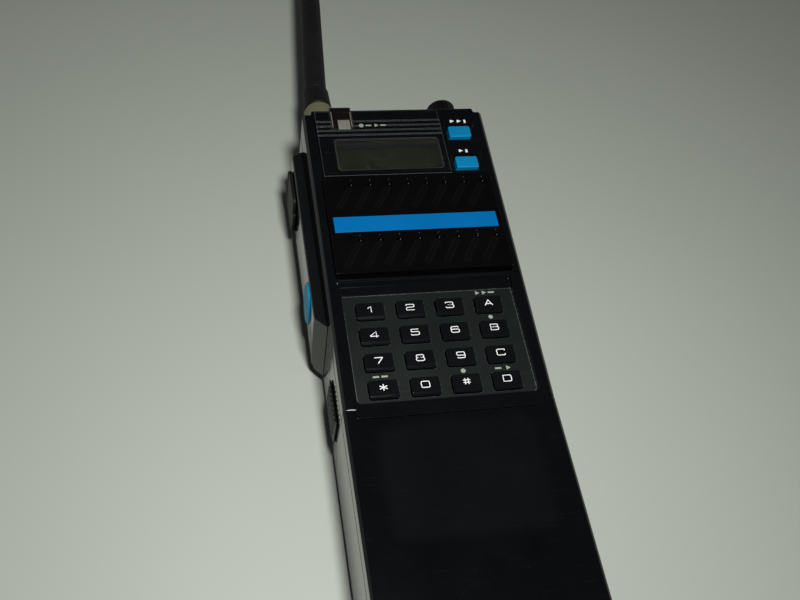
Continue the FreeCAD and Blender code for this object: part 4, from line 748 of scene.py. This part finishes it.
def makeAerial():
    low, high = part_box("antenna_boot")
    centre = ((low.x + high.x) / 2 / mm, (low.z + high.z) / 2 / mm)
    foot, head = low.y / mm, high.y / mm
    boot = [(0.0, foot), (4.7, foot), (5.05, foot + 0.25), (5.1, foot + 0.7), (4.98, foot + 2.6),
            (4.86, foot + 5.2), (4.78, head - 1.1), (4.68, head - 0.5), (4.4, head - 0.1), (4.15, head),
            (0.0, head)]
    bm = spunPiece(boot, centre, aerialLook["steps"])
    finishPiece(bm, "aerialBoot", "soft_rubber", "antenna", ["antenna_boot"])
    lean = math.radians(aerialLook["lean"])
    thick, thin, bore = aerialLook["whipRadius"], aerialLook["tipRadius"], aerialLook["boreRadius"]
    start = head + thick * math.sin(lean) + aerialLook["gap"]
    end = head + aerialLook["whipLength"]
    boreEnd = end - aerialLook["boreDepth"]
    whip = [(bore, start), (thick - 0.2, start), (thick, start + 0.25), (thin + 0.02, end - 2.2),
            (thin - 0.15, end - 1.2), (thin - 0.75, end - 0.4), (thin - 1.6, end), (0.0, end), (0.0, boreEnd),
            (bore, boreEnd), (bore, start)]
    bm = spunPiece(whip, centre, aerialLook["steps"])
    pivot = Vector((centre[0] * mm, head * mm, centre[1] * mm))
    bmesh.ops.rotate(bm, verts=bm.verts, cent=pivot, matrix=Matrix.Rotation(-lean, 3, "Z"))
    finishPiece(bm, "aerialWhip", "whip_rubber", "antenna", ["antenna_whip"])


makeAerial()
makeSoftPiece("antenna_collar", "aerialCollar", aerialLook["collarEdge"])
print("knob and aerial made")


# Speaker louvres and cloth

louvreLook = {"count": 8, "pitch": 6.4, "lean": 6.3, "shift": 0.25, "rows": ((53.45, 10.8), (30.45, 10.9)),
              "thick": 0.5, "tall": 1.3, "tilt": 34.0, "under": 38.75, "short": 1.1, "edge": 0.1}
# size and place of the painted highlight dots at the slot heads
glintDotLook = {"pair": ((0.14, 0.0), (0.20, 2.1)), "shape": (0.8, 1.3, 0.5), "side": -0.3, "past": 1.3,
           "face": 39.98}
clothLook = {"half": 26.6, "foot": 30.1, "head": 65.5, "height": 38.15, "thick": 0.15, "cells": (26, 18)}


def slotPlaces():
    # the middle across, the foot and the rise of each slot of the grille
    for foot, rise in louvreLook["rows"]:
        for index in range(louvreLook["count"]):
            yield louvreLook["shift"] + louvreLook["pitch"] * (index - (louvreLook["count"] - 1) / 2), foot, rise


def makeLouvres():
    # a slanted fin stands in each slot of the grille
    bm = bmesh.new()
    for x, foot, rise in slotPlaces():
        length = math.hypot(louvreLook["lean"], rise) - louvreLook["short"]
        made = bmesh.ops.create_cube(bm, size=1.0)["verts"]
        bmesh.ops.scale(bm, verts=made, vec=(length * mm, louvreLook["thick"] * mm, louvreLook["tall"] * mm))
        bmesh.ops.rotate(bm, verts=made, cent=(0, 0, 0),
                         matrix=Matrix.Rotation(math.radians(louvreLook["tilt"]), 3, "X"))
        bmesh.ops.rotate(bm, verts=made, cent=(0, 0, 0),
                         matrix=Matrix.Rotation(math.atan2(rise, louvreLook["lean"]), 3, "Z"))
        bmesh.ops.translate(bm, verts=made, vec=(x * mm, (foot + rise / 2) * mm, louvreLook["under"] * mm))
    softenEdges(bm, louvreLook["edge"])
    finishPiece(bm, "speakerLouvres", "speaker_cloth", "casing")


def makePaintedGlints():
    # two small grey dots at the head of each slot are painted highlights, the glints of the slot's rounded end
    bm = bmesh.new()
    for x, foot, rise in slotPlaces():
        for radius, down in glintDotLook["pair"]:
            made = bmesh.ops.create_icosphere(bm, subdivisions=2, radius=radius * mm)["verts"]
            bmesh.ops.scale(bm, verts=made, vec=glintDotLook["shape"])
            bmesh.ops.translate(bm, verts=made, vec=((x + louvreLook["lean"] / 2 + glintDotLook["side"]) * mm,
                                                     (foot + rise + glintDotLook["past"] - down) * mm,
                                                     glintDotLook["face"] * mm))
    finishPiece(bm, "grillePaintedGlints", "painted_glint_grey", "casing")


def makeCloth():
    bm = bmesh.new()
    across, along = clothLook["cells"]
    made = bmesh.ops.create_grid(bm, x_segments=across, y_segments=along, size=0.5)["verts"]
    half, foot, head = clothLook["half"], clothLook["foot"], clothLook["head"]
    bmesh.ops.scale(bm, verts=made, vec=(2 * half * mm, (head - foot) * mm, 1.0))
    bmesh.ops.translate(bm, verts=made, vec=(0.0, (head + foot) / 2 * mm, clothLook["height"] * mm))
    bmesh.ops.solidify(bm, geom=bm.faces[:], thickness=clothLook["thick"] * mm)
    bmesh.ops.recalc_face_normals(bm, faces=bm.faces)
    finishPiece(bm, "speakerCloth", "speaker_cloth", "casing")


makeLouvres()
makePaintedGlints()
makeCloth()
print("speaker made")


# Display

displayLook = {"x": (-22.45, 13.45), "y": (69.9, 83.6), "corner": 1.2, "band": 0.45, "face": 39.83,
               "thick": 0.02}


def makeWindowSheen():
    # a thin grey ring inside the edge of the display's window, a painted reflection of the window's bevelled edge
    bm = bmesh.new()
    left, right = displayLook["x"]
    low, high = displayLook["y"]
    bmesh.ops.create_grid(bm, x_segments=1, y_segments=1, size=0.5)
    bmesh.ops.scale(bm, verts=bm.verts, vec=((right - left) * mm, (high - low) * mm, 1.0))
    bmesh.ops.bevel(bm, geom=bm.verts[:], offset=displayLook["corner"] * mm, offset_type="OFFSET", segments=5,
                    profile=0.5, affect="VERTICES", clamp_overlap=False, material=-1)
    inner = bm.faces[:]
    bmesh.ops.inset_region(bm, faces=inner, thickness=displayLook["band"] * mm, depth=0.0, use_boundary=True,
                           use_even_offset=True)
    bmesh.ops.translate(bm, verts=list({v for face in inner for v in face.verts}),
                        vec=(0.0, 0.0, -displayLook["thick"] * mm))
    bmesh.ops.delete(bm, geom=inner, context="FACES")
    bmesh.ops.translate(bm, verts=bm.verts, vec=((left + right) / 2 * mm, (low + high) / 2 * mm,
                                                 displayLook["face"] * mm))
    bmesh.ops.solidify(bm, geom=bm.faces[:], thickness=displayLook["thick"] * mm)
    bmesh.ops.recalc_face_normals(bm, faces=bm.faces)
    finishPiece(bm, "windowEdgeSheen", "window_sheen_grey", "casing")


makeWindowSheen()


# Painted highlight and shadow strips behind the lens, and painted highlight streaks in the lamp

# size and place of the painted highlight strip and the painted shadow strip
bandLook = {"x": (-21.9, 12.9), "height": 38.46, "thick": 0.08,
            "bands": (("Warm", "painted_highlight_band", 81.9, 83.4), ("Cool", "painted_shadow_band", 80.1, 81.9))}
# size and place of the painted highlight streaks on the lamp
streakLook = {"width": 0.35, "inset": 0.35, "foot": 0.5, "head": 2.6, "drop": 0.22, "tall": 0.5, "edge": 0.08}


def makeDisplayBands():
    # painted light: through the lens, the display's head shows a paler strip, a painted highlight of the window's
    # edge, above a dark bluish one, the bezel's painted shadow
    left, right = bandLook["x"]
    for name, finish, foot, head in bandLook["bands"]:
        bm = bmesh.new()
        made = bmesh.ops.create_cube(bm, size=1.0)["verts"]
        bmesh.ops.scale(bm, verts=made, vec=((right - left) * mm, (head - foot) * mm, bandLook["thick"] * mm))
        bmesh.ops.translate(bm, verts=made, vec=((left + right) / 2 * mm, (foot + head) / 2 * mm,
                                                 bandLook["height"] * mm))
        finishPiece(bm, "displayBand" + name, finish, "casing", flat=True)


def makePaintedStreaks():
    # painted highlight: two pale pinkish bars stand for the light that the sides of the lamp's clear block throw
    # back
    low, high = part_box("light_pipe")
    bm = bmesh.new()
    for side in (low.x + streakLook["inset"] * mm, high.x - streakLook["inset"] * mm):
        made = bmesh.ops.create_cube(bm, size=1.0)["verts"]
        foot, head = low.y + streakLook["foot"] * mm, high.y - streakLook["head"] * mm
        bmesh.ops.scale(bm, verts=made, vec=(streakLook["width"] * mm, head - foot, streakLook["tall"] * mm))
        bmesh.ops.translate(bm, verts=made, vec=(side, (foot + head) / 2, high.z - streakLook["drop"] * mm))
    softenEdges(bm, streakLook["edge"])
    finishPiece(bm, "lampPaintedStreaks", "painted_streak_pink", "casing")


makeDisplayBands()
makePaintedStreaks()
print("display made")


# Table, lamp and room

tableLook = {"size": 6.0, "drop": 0.05, "colour": (176, 182, 171), "tint": (172, 178, 167), "grain": 900.0,
             "blotch": 5.0, "depth": 0.02, "roughness": (0.50, 0.58)}
lampLook = {"place": (-0.022, -0.05, 0.285), "size": 0.02, "power": 3.5}
roomLook = {"from": 0.05, "to": 0.45, "low": 0.45, "high": 0.012}


def makeTable():
    bm = bmesh.new()
    bmesh.ops.create_grid(bm, x_segments=8, y_segments=8, size=tableLook["size"] / 2)
    mesh = bpy.data.meshes.new("table")
    bm.to_mesh(mesh)
    bm.free()
    material = bpy.data.materials.new("table")
    material.use_nodes = True
    tree = material.node_tree
    shader = tree.nodes["Principled BSDF"]
    grain = addEffect(tree, "grain", **{"Scale": tableLook["grain"], "Blotch Scale": tableLook["blotch"]})
    bump = addNode(tree, "ShaderNodeBump", {"Height": grain["Height"], "Distance": tableLook["depth"] * mm})
    colour = mixColour(tree, grain["Blotch"], linear(tableLook["colour"]), linear(tableLook["tint"]))
    rough = spread(tree, grain["Blotch"], 0.0, 1.0, *tableLook["roughness"])
    tree.links.new(colour, shader.inputs["Base Color"])
    tree.links.new(rough, shader.inputs["Roughness"])
    tree.links.new(bump.outputs[0], shader.inputs["Normal"])
    mesh.materials.append(material)
    table = bpy.data.objects.new("table", mesh)
    bpy.context.scene.collection.objects.link(table)
    table.location.z = -tableLook["drop"] * mm


def makeLamp(name, look):
    data = bpy.data.lights.new(name, "POINT")
    data.shadow_soft_size = look["size"]
    data.energy = look["power"]
    lamp = bpy.data.objects.new(name, data)
    bpy.context.scene.collection.objects.link(lamp)
    lamp.location = look["place"]


def makeRoom():
    # a plain room: bright low down all round, dim above, where the black faces mirror it
    world = bpy.data.worlds.new("room")
    bpy.context.scene.world = world
    world.use_nodes = True
    tree = world.node_tree
    sky = tree.nodes["Background"]
    way = addNode(tree, "ShaderNodeTexCoord").outputs["Generated"]
    rise = addNode(tree, "ShaderNodeSeparateXYZ", {0: way}).outputs["Z"]
    limits = {"Value": rise, "From Min": roomLook["from"], "From Max": roomLook["to"],
              "To Min": roomLook["low"], "To Max": roomLook["high"]}
    level = addNode(tree, "ShaderNodeMapRange", limits, interpolation_type="SMOOTHSTEP").outputs["Result"]
    tone = addNode(tree, "ShaderNodeCombineColor", {0: level, 1: level, 2: level}).outputs[0]
    tree.links.new(tone, sky.inputs["Color"])


makeTable()
makeLamp("mainLamp", lampLook)
makeRoom()
bpy.context.scene.view_settings.view_transform = "Standard"

print("scene ready")
